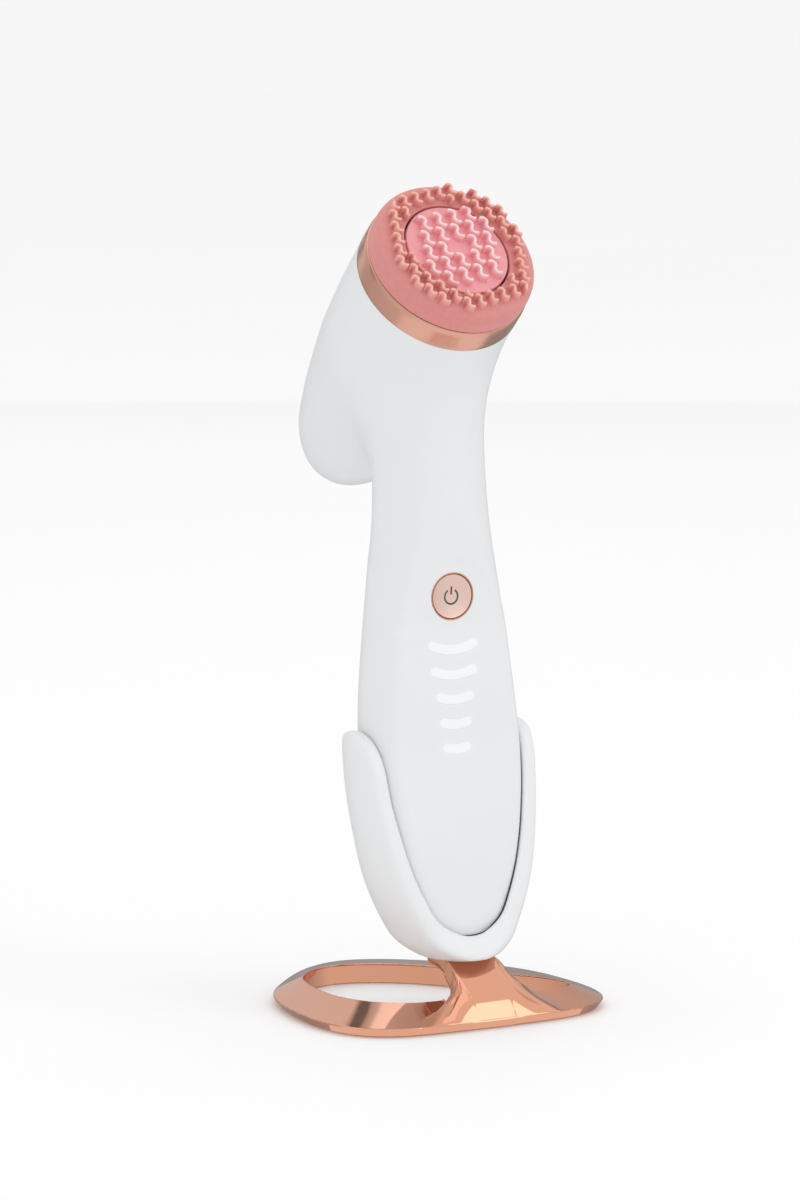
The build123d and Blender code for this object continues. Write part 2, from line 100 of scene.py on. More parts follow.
CRADLE = np.array([
    (13.6, -18.8, 4.0, 7.0), (14.2, -18.8, 6.8, 9.8), (15.5, -18.5, 10.0, 12.6), (18.0, -17.6, 13.6, 14.6), (22.0, -16.5, 16.5, 16.1),
    (27.0, -15.6, 18.8, 17.6), (34.0, -14.6, 21.2, 19.1), (43.0, -13.4, 22.9, 20.4), (55.0, -11.8, 24.2, 21.5),
    (64.0, -10.8, 24.5, 21.8), (73.0, -10.0, 24.4, 21.6), (80.0, -9.5, 24.2, 21.4)])
BAND_FRONT = [(-31.6, 14.6), (-31.0, 15.7), (-29.0, 18.8), (-27.3, 22.5), (-25.9, 28.0), (-24.4, 35.0), (-22.8, 43.0),
              (-21.3, 49.5), (-20.0, 55.0), (-18.6, 61.6), (-16.4, 66.4), (-13.2, 69.4), (-8.8, 70.6)]
BAND_BACK = [(-8.8, 70.6), (-4.0, 69.6), (0.2, 66.4), (2.6, 61.0), (2.9, 54.0), (1.6, 45.0), (-0.6, 36.0),
             (-2.6, 28.0), (-4.2, 21.0), (-5.0, 16.0), (-5.2, 13.0)]
BASE_OUT = [(0, 40.8), (8.3, 38.6), (15.6, 33.8), (21.6, 28.2), (27.0, 22.5), (31.8, 16.6), (35.4, 10.0), (37.7, 2.4),
            (38.9, -6.0), (39.3, -14.5), (38.3, -23.5), (34.8, -31.6), (28.0, -37.0), (19.0, -39.2), (9.5, -39.8), (0, -40.0)]
BASE_IN = [(0, 20.6), (6.5, 15.9), (12.5, 8.8), (17.6, 1.6), (22.3, -5.9), (26.6, -12.6), (29.4, -19.0), (29.6, -24.0),
           (26.2, -26.9), (20.0, -27.2), (12.0, -26.0), (0, -25.2), (-8.5, -25.0), (-14.5, -24.2), (-19.5, -21.0),
           (-24.0, -16.1), (-26.9, -9.0), (-27.6, -1.0), (-26.6, 8.0), (-24.0, 15.4), (-18.9, 21.0), (-13.0, 23.7), (-6.0, 23.3)]
BASE_OUT = BASE_OUT + [(-x, y) for x, y in BASE_OUT[-2:0:-1]]
TONGUE_TOP = np.array([(-44.0, -3.3), (-39.7, 2.3), (-38.2, 4.4), (-36.6, 6.35), (-33.8, 8.8), (-31.4, 10.5), (-29.2, 12.15), (-27.6, 13.4),
                       (-26.6, 14.3), (-25.8, 14.8), (-25.0, 14.9), (-20.0, 14.9), (0.0, 14.9)])
TONGUE_LOW = np.array([(-44.0, -9.0), (-33.0, -6.0), (-31.2, 0.6), (-30.6, 3.4), (-29.0, 6.6), (-27.4, 8.8), (-25.6, 10.5), (-23.4, 11.7), (-21.0, 12.3),
                       (-18.0, 12.5), (0.0, 12.5)])
TONGUE_W = np.array([(-44.0, 5.2), (-36.0, 5.2), (-31.4, 5.5), (-28.0, 5.9), (-24.0, 6.5), (-20.0, 6.5), (-16.5, 6.1), (-14.4, 5.4), (-13.0, 4.5),
                     (-12.2, 3.4), (-11.6, 2.0), (0.0, 2.0)])


def spline(x, y):
    """Natural cubic spline through x, y, as a fine table for np.interp."""
    x, y = np.asarray(x, float), np.asarray(y, float)
    n = len(x)
    h = np.diff(x)
    A = np.zeros((n, n))
    r = np.zeros(n)
    A[0, 0] = A[-1, -1] = 1
    for i in range(1, n - 1):
        A[i, i - 1], A[i, i], A[i, i + 1] = h[i - 1], 2 * (h[i - 1] + h[i]), h[i]
        r[i] = 6 * ((y[i + 1] - y[i]) / h[i] - (y[i] - y[i - 1]) / h[i - 1])
    m = np.linalg.solve(A, r)
    xs = np.linspace(x[0], x[-1], 60 * n)
    k = np.clip(np.searchsorted(x, xs, side="right") - 1, 0, n - 2)
    t = xs - x[k]
    b = (y[k + 1] - y[k]) / h[k] - h[k] * (2 * m[k] + m[k + 1]) / 6
    ys = y[k] + b * t + m[k] / 2 * t * t + (m[k + 1] - m[k]) / (6 * h[k]) * t ** 3
    return xs, ys


def table(rows):
    return [spline(rows[:, 0], rows[:, i]) for i in range(1, rows.shape[1])]


def look(tab, v):
    return np.interp(v, tab[0], tab[1])


H_YC, H_WX, H_WY = table(HANDLE)
C_YC, C_WX, C_WY = table(CRADLE)
(F_Y,) = table(FACET)
(B_R,) = table(BARREL)


def smin(a, b, k):
    h = np.maximum(k - np.abs(a - b), 0) / k
    return np.minimum(a, b) - h * h * h * k / 6


def smax(a, b, k):
    return -smin(-a, -b, k)


# =====================================================================  distance fields
def f_handle(x, y, z, grow=0.0):
    yc, wx, wy = look(H_YC, z), look(H_WX, z), look(H_WY, z)
    u, v = x, y - yc
    q = np.sqrt((u / wx) ** 2 + (v / wy) ** 2) + 1e-9
    r = np.sqrt(u * u + v * v)
    d = r - r / q
    d = d * np.clip(np.interp(z, [19.0, 24, 34, 50], [0.35, 0.6, 0.88, 1.0]), 0, 1) - grow
    fy = look(F_Y, z)
    rb = np.sqrt(x * x + (z - KC[2]) ** 2)
    w = np.clip((10.0 - rb) / 3.4, 0, 1)
    w = w * w * (3 - 2 * w)
    fy = fy + (KC[1] + (z - KC[2]) * math.tan(KT) - fy) * w
    d = smax(d, (fy - y) * 0.985 - grow, 2.6)
    d = smax(d, z - 160.0 - grow, 6.0)
    return smax(d, 20.1 - z - grow, 1.6)


def f_barrel_plain(x, y, z):
    px, py, pz = x, y - P0[1], z - P0[2]
    s = py * BACK[1] + pz * BACK[2]
    v = py * BUP[1] + pz * BUP[2]
    rho = np.sqrt(px * px + v * v)
    rr = look(B_R, np.minimum(s, 73.3))
    d = (rho - rr) * np.interp(s, [20, 45, 59], [1, 0.96, 0.9])
    return d, rho, s


def f_barrel(x, y, z):
    d, rho, s = f_barrel_plain(x, y, z)
    w = np.clip((s - 44.0) / 10.0, 0, 1)
    w = w * w * (3 - 2 * w)
    return d * (1 - w) + END(rho, s) * w


NECK_K = 17.0


def f_body(x, y, z):
    return smin(f_handle(x, y, z), f_barrel(x, y, z), NECK_K)


def t_head(x, y, z):
    return (y - P0[1]) * BZ[1] + (z - P0[2]) * BZ[2]


def r_head(x, y, z):
    v = (y - P0[1]) * BY[1] + (z - P0[2]) * BY[2]
    return np.sqrt(x * x + v * v)


def h_coords(x, y, z):
    return x, (y - HO[1]) * HY[1] + (z - HO[2]) * HY[2], (y - HO[1]) * HZ[1] + (z - HO[2]) * HZ[2]


COVER_Z = (-66.0, 22.0)
SEAM_Y = 10.0


def f_cover_zone(x, y, z, gap=0.0):
    _, yl, zl = h_coords(x, y, z)
    return np.maximum(np.maximum(SEAM_Y - yl, COVER_Z[0] - zl), zl - COVER_Z[1]) - gap


def k_coords(x, y, z):
    """Across, up and out of the button pad."""
    return x, (y - KC[1]) * KU[1] + (z - KC[2]) * KU[2], (y - KC[1]) * KN[1] + (z - KC[2]) * KN[2]


def f_inside(x, y, z):
    """Hollow of the housing."""
    t = t_head(x, y, z)
    return smax(f_body(x, y, z) + 2.2, t + 26.5, 1.0)


def f_section(x, y, z, grow):
    """Handle sections without the facet."""
    yc, wx, wy = look(H_YC, z), look(H_WX, z), look(H_WY, z)
    v = y - yc
    q = np.sqrt((x / wx) ** 2 + (v / wy) ** 2) + 1e-9
    r = np.sqrt(x * x + v * v)
    return (r - r / q) * np.interp(z, [19.0, 24, 34, 50], [0.35, 0.6, 0.88, 1.0]) - grow


def poly_field(pts, lo, hi, h):
    """Signed distance to a closed outline on a fine grid, as a smooth lookup."""
    P = np.asarray(pts, float)
    A, B = P, np.roll(P, -1, 0)
    gx, gy = np.arange(lo[0], hi[0] + h, h), np.arange(lo[1], hi[1] + h, h)
    X, Y = np.meshgrid(gx, gy, indexing="ij")
    best = np.full(X.shape, 1e9)
    ins = np.zeros(X.shape, bool)
    for (ax, ay), (bx, by) in zip(A, B):
        dx, dy = bx - ax, by - ay
        t = np.clip(((X - ax) * dx + (Y - ay) * dy) / (dx * dx + dy * dy + 1e-12), 0, 1)
        best = np.minimum(best, (X - ax - t * dx) ** 2 + (Y - ay - t * dy) ** 2)
        c = (ay > Y) != (by > Y)
        with np.errstate(divide="ignore", invalid="ignore"):
            ins ^= c & (X < (bx - ax) * (Y - ay) / (by - ay + 1e-30) + ax)
    D = np.sqrt(best) * np.where(ins, -1, 1)

    def f(u, v):
        i = np.clip((u - lo[0]) / h, 0, D.shape[0] - 1.001)
        j = np.clip((v - lo[1]) / h, 0, D.shape[1] - 1.001)
        i0, j0 = i.astype(int), j.astype(int)
        a, b = i - i0, j - j0
        return (D[i0, j0] * (1 - a) * (1 - b) + D[i0 + 1, j0] * a * (1 - b) + D[i0, j0 + 1] * (1 - a) * b
                + D[i0 + 1, j0 + 1] * a * b)
    return f


def smooth_line(pts, n=400, closed=False):
    """Dense points of a smooth curve through pts."""
    P = np.asarray(pts, float)
    if closed:
        m = len(P)
        P = np.concatenate([P[-4:], P, P[:5]])
    s = np.concatenate([[0], np.cumsum(np.linalg.norm(np.diff(P, axis=0), axis=1))])
    tx, ty = spline(s, P[:, 0]), spline(s, P[:, 1])
    lo, hi = (s[4], s[4 + m]) if closed else (s[0], s[-1])
    q = np.linspace(lo, hi, n, endpoint=not closed)
    return np.stack([look(tx, q), look(ty, q)], 1)


_b = [(r, s_) for s_, r in BARREL[6:-1]] + [(0.0, 73.3)]
_e = smooth_line(_b + [(-r, s_) for r, s_ in _b[-2::-1]], 500)
END = poly_field(np.concatenate([_e, [(-20.0, 20.0), (20.0, 20.0)]]), (-26.0, 26.0), (26.0, 79.0), 0.2)
BAND = poly_field(np.concatenate([smooth_line(BAND_FRONT, 120), smooth_line(BAND_BACK, 120)[1:]]), (-40.0, 6.0), (12.0, 82.0), 0.2)


def f_cradle(x, y, z):
    yc, wx, wy = look(C_YC, z), look(C_WX, z), look(C_WY, z)
    v = y - yc
    q = np.sqrt((x / wx) ** 2 + (v / wy) ** 2) + 1e-9
    r = np.sqrt(x * x + v * v)
    out = (r - r / q) * np.interp(z, [13.0, 18, 26, 40], [0.4, 0.62, 0.88, 1.0])
    inn = smax(f_section(x, y, z, 0.2), 19.95 - z, 1.2)
    d = smax(out, -inn, 1.5)
    d = smax(d, BAND(y, z), 2.4)
    d = np.maximum(d, 14.92 - z)
    d = np.maximum(d, -np.maximum(np.sqrt(x * x + (y + 18.4) ** 2) - 6.4, z - 18.7))
    return np.maximum(d, -np.maximum(np.maximum(np.abs(x) - 4.0, np.abs(y + 6.25) - 6.25), np.abs(z - 17.65) - 1.95))


def mirrored(points):
    return points + [(-x, y) for x, y in points[-2:0:-1]]


def polar(points):
    C = smooth_line(points, 1440, closed=True)
    t, r = np.arctan2(C[:, 0], -C[:, 1]), np.hypot(C[:, 0], C[:, 1])
    o = np.argsort(t)
    t, r = t[o], r[o]
    t = np.concatenate([t[-3:] - 2 * math.pi, t, t[:3] + 2 * math.pi])
    r = np.concatenate([r[-3:], r, r[:3]])
    g = np.linspace(-math.pi, math.pi, 3601)
    return g, np.interp(g, t, r)


R_OUT, R_IN = polar(BASE_OUT), polar(BASE_IN)
EDGE_Z, RIM_Z, LOW_Z = 2.3, 5.2, 0.4
(T_TOP,), (T_LOW,), (T_W,) = table(TONGUE_TOP), table(TONGUE_LOW), table(TONGUE_W)


def f_base(x, y, z):
    th = np.arctan2(x, -y)
    r = np.hypot(x, y)
    ro, ri = np.interp(th, *R_OUT), np.interp(th, *R_IN)
    u = (ro - r) / (ro - ri)
    ax_ = np.abs(x)
    tw, tt, tl = look(T_W, y), look(T_TOP, y), look(T_LOW, y)
    rim = EDGE_Z + (RIM_Z - EDGE_Z) * np.clip(u, -0.3, 1.6)
    # flanks of the tongue: short on one side, a long sweep on the other
    t = np.clip(np.maximum(x - tw, 0) / np.interp(y, [-40.0, -31, -25.5, -22], [17.0, 15.0, 9.0, 6.0])
                + np.maximum(-x - tw, 0) / np.interp(y, [-40.0, -34, -32, -30, -28, -24], [17.0, 13.0, 9.0, 4.0, 1.6, 1.0]), 0, 1)
    fall = 1 - t * t * (3 - 2 * t)
    k = np.clip((-20.5 - y) / 4.0, 0, 1)
    top = rim + np.maximum(tt - rim, 0) * fall * k * k * (3 - 2 * k)
    f_top = (z - top) * 0.86
    f_low = ((r - ro) + (EDGE_Z - z) * 0.684) / 1.2116
    ring = np.maximum(smax(f_top, f_low, 0.45), LOW_Z - z)
    ring = smax(ring, ri - r, 0.5)
    # clear space under the tongue
    arch = smax((z - tl) * 0.8, np.maximum(x - 4.5, -x - 7.2), 1.5)
    ring = np.where((y > -34.0) & (y < -14.0), smax(ring, -arch, 0.5), ring)
    # tongue plate over the opening
    plate = smax(np.maximum((z - tt) * 0.84, (tl - z) * 0.8), ax_ - tw, 0.6)
    plate = np.maximum(np.maximum(plate, y + 12.0), -41.5 - y)
    plate = np.maximum(np.maximum(plate, f_low), LOW_Z - z)
    return smin(ring, plate, 0.35)


def f_base_cut(x, y, z):
    d = f_base(x, y, z)
    for sx, sy, top in ((-4.2, -25.3, 12.7), (4.2, -25.3, 12.7)):
        rr = np.hypot(x - sx, y - sy)
        d = np.maximum(d, -np.maximum(rr - 2.1, z - top))
    for sx, sy, fr in FEET:
        d = np.maximum(d, -np.maximum(np.hypot(x - sx, y - sy) - fr - 0.1, z - 1.3))
    return d


FEET = [(-19.2, 24.4, 2.1), (19.2, 24.4, 2.1), (-33.6, -16.5, 3.0), (33.6, -16.5, 3.0), (0.0, -34.0, 3.0)]

# =====================================================================  dual contouring
def contour(f, lo, hi, h, tidy=2):
    """Closed quad mesh of f = 0 between lo and hi, with cells of side h. Keeps sharp edges."""
    lo, hi = np.array(lo, float), np.array(hi, float)
    n = np.ceil((hi - lo) / h).astype(int) + 1
    ax = [lo[i] + h * np.arange(n[i]) for i in range(3)]
    V = np.empty(n, np.float64)
    for i in range(0, n[0], 24):
        X, Y, Z = np.meshgrid(ax[0][i:i + 24], ax[1], ax[2], indexing="ij")
        V[i:i + 24] = f(X, Y, Z)
    V[np.abs(V) < 1e-9] = 1e-9
    ins = V < 0

    def grad(p):
        e = 0.02
        g = np.empty_like(p)
        for k in range(3):
            a, b = p.copy(), p.copy()
            a[:, k] += e
            b[:, k] -= e
            g[:, k] = f(a[:, 0], a[:, 1], a[:, 2]) - f(b[:, 0], b[:, 1], b[:, 2])
        g /= 2 * e
        return g

    cells = n - 1
    strides = np.array([cells[1] * cells[2], cells[2], 1])
    acc_id, acc_p, acc_n, quads = [], [], [], []
    for a in range(3):
        s0 = [slice(None)] * 3
        s1 = [slice(None)] * 3
        s0[a], s1[a] = slice(0, -1), slice(1, None)
        i0, i1 = ins[tuple(s0)], ins[tuple(s1)]
        idx = np.argwhere(i0 != i1)
        b, c = (a + 1) % 3, (a + 2) % 3
        ok = (idx[:, b] > 0) & (idx[:, c] > 0) & (idx[:, b] < n[b] - 1) & (idx[:, c] < n[c] - 1)
        idx = idx[ok]
        nxt = idx.copy()
        nxt[:, a] += 1
        v0, v1 = V[tuple(idx.T)], V[tuple(nxt.T)]
        t = v0 / (v0 - v1)
        p = lo + h * idx
        p[:, a] += h * t
        # one secant step on the true field
        for _ in range(2):
            fv = f(p[:, 0], p[:, 1], p[:, 2])
            low = lo[a] + h * idx[:, a]
            neg = (fv < 0) == (v0 < 0)
            q = (p[:, a] - low) / h
            t0, f0, t1, f1 = np.where(neg, q, 0), np.where(neg, fv, v0), np.where(neg, 1, q), np.where(neg, v1, fv)
            den = np.where(np.abs(f0 - f1) < 1e-12, 1, f0 - f1)
            p[:, a] = low + h * np.clip(t0 + (t1 - t0) * f0 / den, 0, 1)
        g = grad(p)
        g /= np.maximum(np.linalg.norm(g, axis=1, keepdims=True), 1e-9)
        four = []
        for db, dc in ((-1, -1), (0, -1), (0, 0), (-1, 0)):
            cell = idx.copy()
            cell[:, b] += db
            cell[:, c] += dc
            cid = cell @ strides
            four.append(cid)
            acc_id.append(cid)
            acc_p.append(p)
            acc_n.append(g)
        quad = np.stack(four, 1)
        flip = ~i0[tuple(idx.T)]
        quad[flip] = quad[flip][:, ::-1]
        quads.append(quad)
    cid, P, N = np.concatenate(acc_id), np.concatenate(acc_p), np.concatenate(acc_n)
    uniq, inv = np.unique(cid, return_inverse=True)
    m = len(uniq)
    cnt = np.bincount(inv, minlength=m).astype(float)
    mass = np.stack([np.bincount(inv, P[:, k], m) / cnt for k in range(3)], 1)
    R = P - mass[inv]
    d = np.einsum("ij,ij->i", R, N)
    ATA = np.zeros((m, 3, 3))
    ATb = np.zeros((m, 3))
    for k in range(3):
        ATb[:, k] = np.bincount(inv, N[:, k] * d, m)
        for j in range(k, 3):
            ATA[:, k, j] = ATA[:, j, k] = np.bincount(inv, N[:, k] * N[:, j], m)
    ATA += np.eye(3) * (0.06 * cnt)[:, None, None]
    x = np.linalg.solve(ATA, ATb[:, :, None])[:, :, 0]
    x = np.clip(x, -0.75 * h, 0.75 * h)
    co = mass + x
    corner = lo + h * np.stack([uniq // strides[0], (uniq // strides[1]) % cells[1], uniq % cells[2]], 1)
    co = np.clip(co, corner - 0.02 * h, corner + 1.02 * h)
    Q = np.searchsorted(uniq, np.concatenate(quads))
    # slide vertices of smooth areas exactly onto the surface
    for _ in range(tidy):
        fv = f(co[:, 0], co[:, 1], co[:, 2])
        g = grad(co)
        gg = np.maximum((g * g).sum(1), 0.05)
        step = (fv / gg)[:, None] * g
        small = np.linalg.norm(step, axis=1) < 0.3 * h
        co[small] -= step[small]
    return co, Q


def relax(co, Q, f, rounds=2, keep=None):
    """Evens the quads of a smooth surface and puts them back on it."""
    n = len(co)
    e = np.concatenate([Q[:, [0, 1]], Q[:, [1, 2]], Q[:, [2, 3]], Q[:, [3, 0]]])
    for _ in range(rounds):
        s = np.zeros((n, 3))
        c = np.bincount(e[:, 0], minlength=n) + np.bincount(e[:, 1], minlength=n)
        for k in range(3):
            s[:, k] = np.bincount(e[:, 0], co[e[:, 1], k], n) + np.bincount(e[:, 1], co[e[:, 0], k], n)
        new = s / c[:, None]
        w = 0.5 if keep is None else 0.5 * (1 - keep)[:, None]
        co = co + (new - co) * w
        for _ in range(2):
            fv = f(co[:, 0], co[:, 1], co[:, 2])
            g = np.empty_like(co)
            for k in range(3):
                a, b = co.copy(), co.copy()
                a[:, k] += 0.02
                b[:, k] -= 0.02
                g[:, k] = (f(a[:, 0], a[:, 1], a[:, 2]) - f(b[:, 0], b[:, 1], b[:, 2])) / 0.04
            gg = np.maximum((g * g).sum(1), 0.2)
            step = (fv / gg)[:, None] * g
            ln = np.linalg.norm(step, axis=1)
            step *= np.minimum(1, 0.15 / np.maximum(ln, 1e-9))[:, None]
            co = co - (step if keep is None else step * (1 - keep)[:, None])
    return co


# =====================================================================  mesh helpers
def make(name, co, faces, smooth=35.0, material=None, body=None, node=None, slot=None):
    """Mesh object from millimetre points in the design frame."""
    co = (np.asarray(co, float) + SHIFT) * MM
    me = bpy.data.meshes.new(name)
    if isinstance(faces, np.ndarray):
        me.vertices.add(len(co))
        me.vertices.foreach_set("co", co.astype(np.float32).ravel())
        k = faces.shape[1]
        me.loops.add(faces.size)
        me.loops.foreach_set("vertex_index", faces.astype(np.int32).ravel())
        me.polygons.add(len(faces))
        me.polygons.foreach_set("loop_start", (np.arange(len(faces)) * k).astype(np.int32))
        me.update(calc_edges=True)
        me.validate()
    else:
        me.from_pydata([tuple(c) for c in co], [], [list(q) for q in faces])
    me.update()
    me.polygons.foreach_set("use_smooth", [True] * len(me.polygons))
    if smooth is not None:
        me.set_sharp_from_angle(angle=math.radians(smooth))
    ob = bpy.data.objects.new(name, me)
    bpy.context.scene.collection.objects.link(ob)
    if material:
        me.materials.append(material)
    if body:
        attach(ob, body)
    if node:
        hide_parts(*([node] if isinstance(node, str) else node))
    return ob


def revolve(profile, origin, zdir, seg=160, closed=True):
    """Points and faces of a solid of revolution. profile is a closed loop of radius, height."""
    z = unit(zdir)
    x = np.array([1.0, 0, 0])
    y = np.cross(z, x)
    m = len(profile)
    co, faces = [], []
    ang = np.linspace(0, 2 * math.pi, seg, endpoint=False)
    for r, t in profile:
        for a in ang:
            co.append(origin + z * t + (x * math.cos(a) + y * math.sin(a)) * r)
    for i in range(m):
        j = (i + 1) % m
        if not closed and j == 0:
            break
        for k in range(seg):
            l = (k + 1) % seg
            faces.append((i * seg + k, i * seg + l, j * seg + l, j * seg + k))
    return np.array(co), faces


def round_profile(pts, radius, steps=5):
    """Rounds the corners of a closed profile."""
    out = []
    n = len(pts)
    for i in range(n):
        p, a, b = np.array(pts[i], float), np.array(pts[i - 1], float), np.array(pts[(i + 1) % n], float)
        r = radius[i] if hasattr(radius, "__len__") else radius
        da, db = a - p, b - p
        la, lb = np.linalg.norm(da), np.linalg.norm(db)
        if r <= 0:
            out.append(tuple(p))
            continue
        c = min(r, 0.45 * la, 0.45 * lb)
        p0, p1 = p + da / la * c, p + db / lb * c
        for k in range(steps + 1):
            t = k / steps
            out.append(tuple((1 - t) ** 2 * p0 + 2 * t * (1 - t) * p + t * t * p1))
    return out


# =====================================================================  materials
class Nodes:
    """Small helper around a material's node tree."""

    def __init__(self, name):
        self.m = bpy.data.materials.new(name)
        self.m.use_nodes = True
        self.t = self.m.node_tree
        self.t.nodes.clear()
        self.out = self.t.nodes.new("ShaderNodeOutputMaterial")
        self.b = self.t.nodes.new("ShaderNodeBsdfPrincipled")
        self.t.links.new(self.b.outputs[0], self.out.inputs[0])
        self.tc = None

    def coords(self):
        if self.tc is None:
            self.tc = self.t.nodes.new("ShaderNodeTexCoord")
        return self.tc.outputs["Object"]

    def add(self, kind, **values):
        n = self.t.nodes.new(kind)
        for k, v in values.items():
            if hasattr(n, k):
                setattr(n, k, v)
            else:
                n.inputs[k.replace("_", " ")].default_value = v
        return n

    def link(self, a, b):
        self.t.links.new(a, b)

    def set(self, **values):
        for k, v in values.items():
            self.b.inputs[k.replace("_", " ")].default_value = v

    def noise(self, scale, detail=3.0, rough=0.5, stretch=None):
        n = self.add("ShaderNodeTexNoise")
        n.inputs["Scale"].default_value = scale
        n.inputs["Detail"].default_value = detail
        n.inputs["Roughness"].default_value = rough
        src = self.coords()
        if stretch is not None:
            mp = self.add("ShaderNodeMapping")
            mp.inputs["Scale"].default_value = stretch
            self.link(src, mp.inputs["Vector"])
            src = mp.outputs[0]
        self.link(src, n.inputs["Vector"])
        return n.outputs["Fac"]

    def ramp(self, fac, stops):
        r = self.add("ShaderNodeValToRGB")
        e = r.color_ramp.elements
        e[0].position, e[0].color = stops[0][0], (*stops[0][1], 1)
        e[1].position, e[1].color = stops[-1][0], (*stops[-1][1], 1)
        for pos, col in stops[1:-1]:
            x = e.new(pos)
            x.color = (*col, 1)
        self.link(fac, r.inputs[0])
        return r.outputs[0]

    def maprange(self, fac, a, b, c, d):
        r = self.add("ShaderNodeMapRange")
        for k, v in zip(("From Min", "From Max", "To Min", "To Max"), (a, b, c, d)):
            r.inputs[k].default_value = v
        self.link(fac, r.inputs["Value"])
        return r.outputs["Result"]

    def bump(self, height, strength, distance):
        b = self.add("ShaderNodeBump")
        b.inputs["Strength"].default_value = strength
        b.inputs["Distance"].default_value = distance
        self.link(height, b.inputs["Height"])
        self.link(b.outputs[0], self.b.inputs["Normal"])
        return b


def lin(r, g, b):
    """sRGB 0-255 to linear."""
    out = []
    for c in (r, g, b):
        c /= 255.0
        out.append(c / 12.92 if c <= 0.04045 else ((c + 0.055) / 1.055) ** 2.4)
    return tuple(out)


def plastic(name, rgb, rough=0.32, coat=0.0, var=0.02, grain=0.00002, spec=0.5, sss=0.0, detail=900.0):
    n = Nodes(name)
    c = np.array(rgb)
    f = n.noise(38.0, 4.0)
    n.link(n.ramp(f, [(0.3, tuple(c * (1 - var))), (0.7, tuple(np.minimum(c * (1 + var), 1)))]), n.b.inputs["Base Color"])
    g = n.noise(detail, 2.0)
    n.link(n.maprange(g, 0.3, 0.7, rough - 0.04, rough + 0.04), n.b.inputs["Roughness"])
    n.bump(g, 0.12, grain)
    n.set(Coat_Weight=coat, Coat_Roughness=0.12, Specular_IOR_Level=spec)
    if sss:
        n.set(Subsurface_Weight=sss, Subsurface_Scale=0.004)
        n.b.inputs["Subsurface Radius"].default_value = (1.0, 0.9, 0.8)
    return n.m


def metal(name, rgb, rough=0.12, var=0.03, brush=None, brush_amount=0.0, aniso=0.0):
    n = Nodes(name)
    c = np.array(rgb)
    f = n.noise(60.0, 3.0)
    n.link(n.ramp(f, [(0.3, tuple(c * (1 - var))), (0.7, tuple(np.minimum(c * (1 + var), 1)))]), n.b.inputs["Base Color"])
    g = n.noise(500.0 if brush is None else 900.0, 2.0, 0.5, brush)
    n.link(n.maprange(g, 0.3, 0.7, max(rough - 0.02, 0.01), rough + 0.03), n.b.inputs["Roughness"])
    if brush_amount:
        n.bump(g, 0.25, brush_amount)
    n.set(Metallic=1.0, Anisotropic=aniso)
    return n.m


WHITE = lin(229, 231, 233)


def glowing(name, rgb, rough, amount):
    """White plastic that lets the light of the bars through, by a baked closeness attribute."""
    n = Nodes(name)
    c = np.array(rgb)
    f = n.noise(38.0, 4.0)
    n.link(n.ramp(f, [(0.3, tuple(c * 0.994)), (0.7, tuple(np.minimum(c * 1.006, 1)))]), n.b.inputs["Base Color"])
    g = n.noise(900.0, 2.0)
    n.link(n.maprange(g, 0.3, 0.7, rough - 0.04, rough + 0.04), n.b.inputs["Roughness"])
    n.bump(g, 0.12, 0.00002)
    at = n.add("ShaderNodeAttribute")
    at.attribute_name = "glow"
    n.link(n.maprange(at.outputs["Fac"], 0.0, 1.0, 0.0, amount), n.b.inputs["Emission Strength"])
    n.b.inputs["Emission Color"].default_value = (1.0, 1.0, 1.0, 1)
    return n.m


M_WHITE = glowing("mat_housing", WHITE, 0.36, 0.02)
M_LIGHT = glowing("mat_light_bar", lin(238, 239, 242), 0.5, 0.035)
M_CRADLE = plastic("mat_cradle", lin(231, 233, 234), rough=0.40, var=0.006)
M_BASE = metal("mat_base_rose_gold", lin(228, 164, 134), rough=0.045, var=0.006)
M_RING = metal("mat_ring_rose_gold", lin(224, 170, 150), rough=0.22, var=0.005)
M_BUTTON = metal("mat_button_rose_gold", lin(240, 208, 196), rough=0.3, var=0.006)
M_BEZEL = metal("mat_bezel_rose_gold", lin(214, 158, 132), rough=0.16, var=0.01)
M_MARK = plastic("mat_mark", lin(78, 74, 74), rough=0.5, var=0.05)
M_GREY = plastic("mat_grey_plastic", lin(196, 198, 200), rough=0.45, var=0.03)
M_DARK = plastic("mat_rubber_dark", lin(58, 58, 60), rough=0.7, var=0.08, spec=0.3)
M_SEAL = plastic("mat_seal", lin(168, 170, 172), rough=0.6, var=0.04)
M_WRUB = plastic("mat_rubber_white", lin(228, 230, 232), rough=0.6, var=0.02)
M_STEEL = metal("mat_steel", (0.62, 0.63, 0.65), rough=0.28, brush=(1, 1, 14), brush_amount=0.00001)
M_BRONZE = metal("mat_bronze", (0.62, 0.42, 0.22), rough=0.35)
M_COPPER = metal("mat_copper", (0.75, 0.34, 0.2), rough=0.3, brush=(1, 1, 40), brush_amount=0.00004)
M_MAGNET = metal("mat_magnet", (0.66, 0.67, 0.7), rough=0.12)
M_FERRITE = plastic("mat_ferrite", lin(60, 60, 62), rough=0.6, var=0.1)
M_BOARD = plastic("mat_board", lin(36, 96, 66), rough=0.35, var=0.15, coat=0.3)
M_CELL = plastic("mat_cell", lin(58, 96, 150), rough=0.3, var=0.04, coat=0.3)


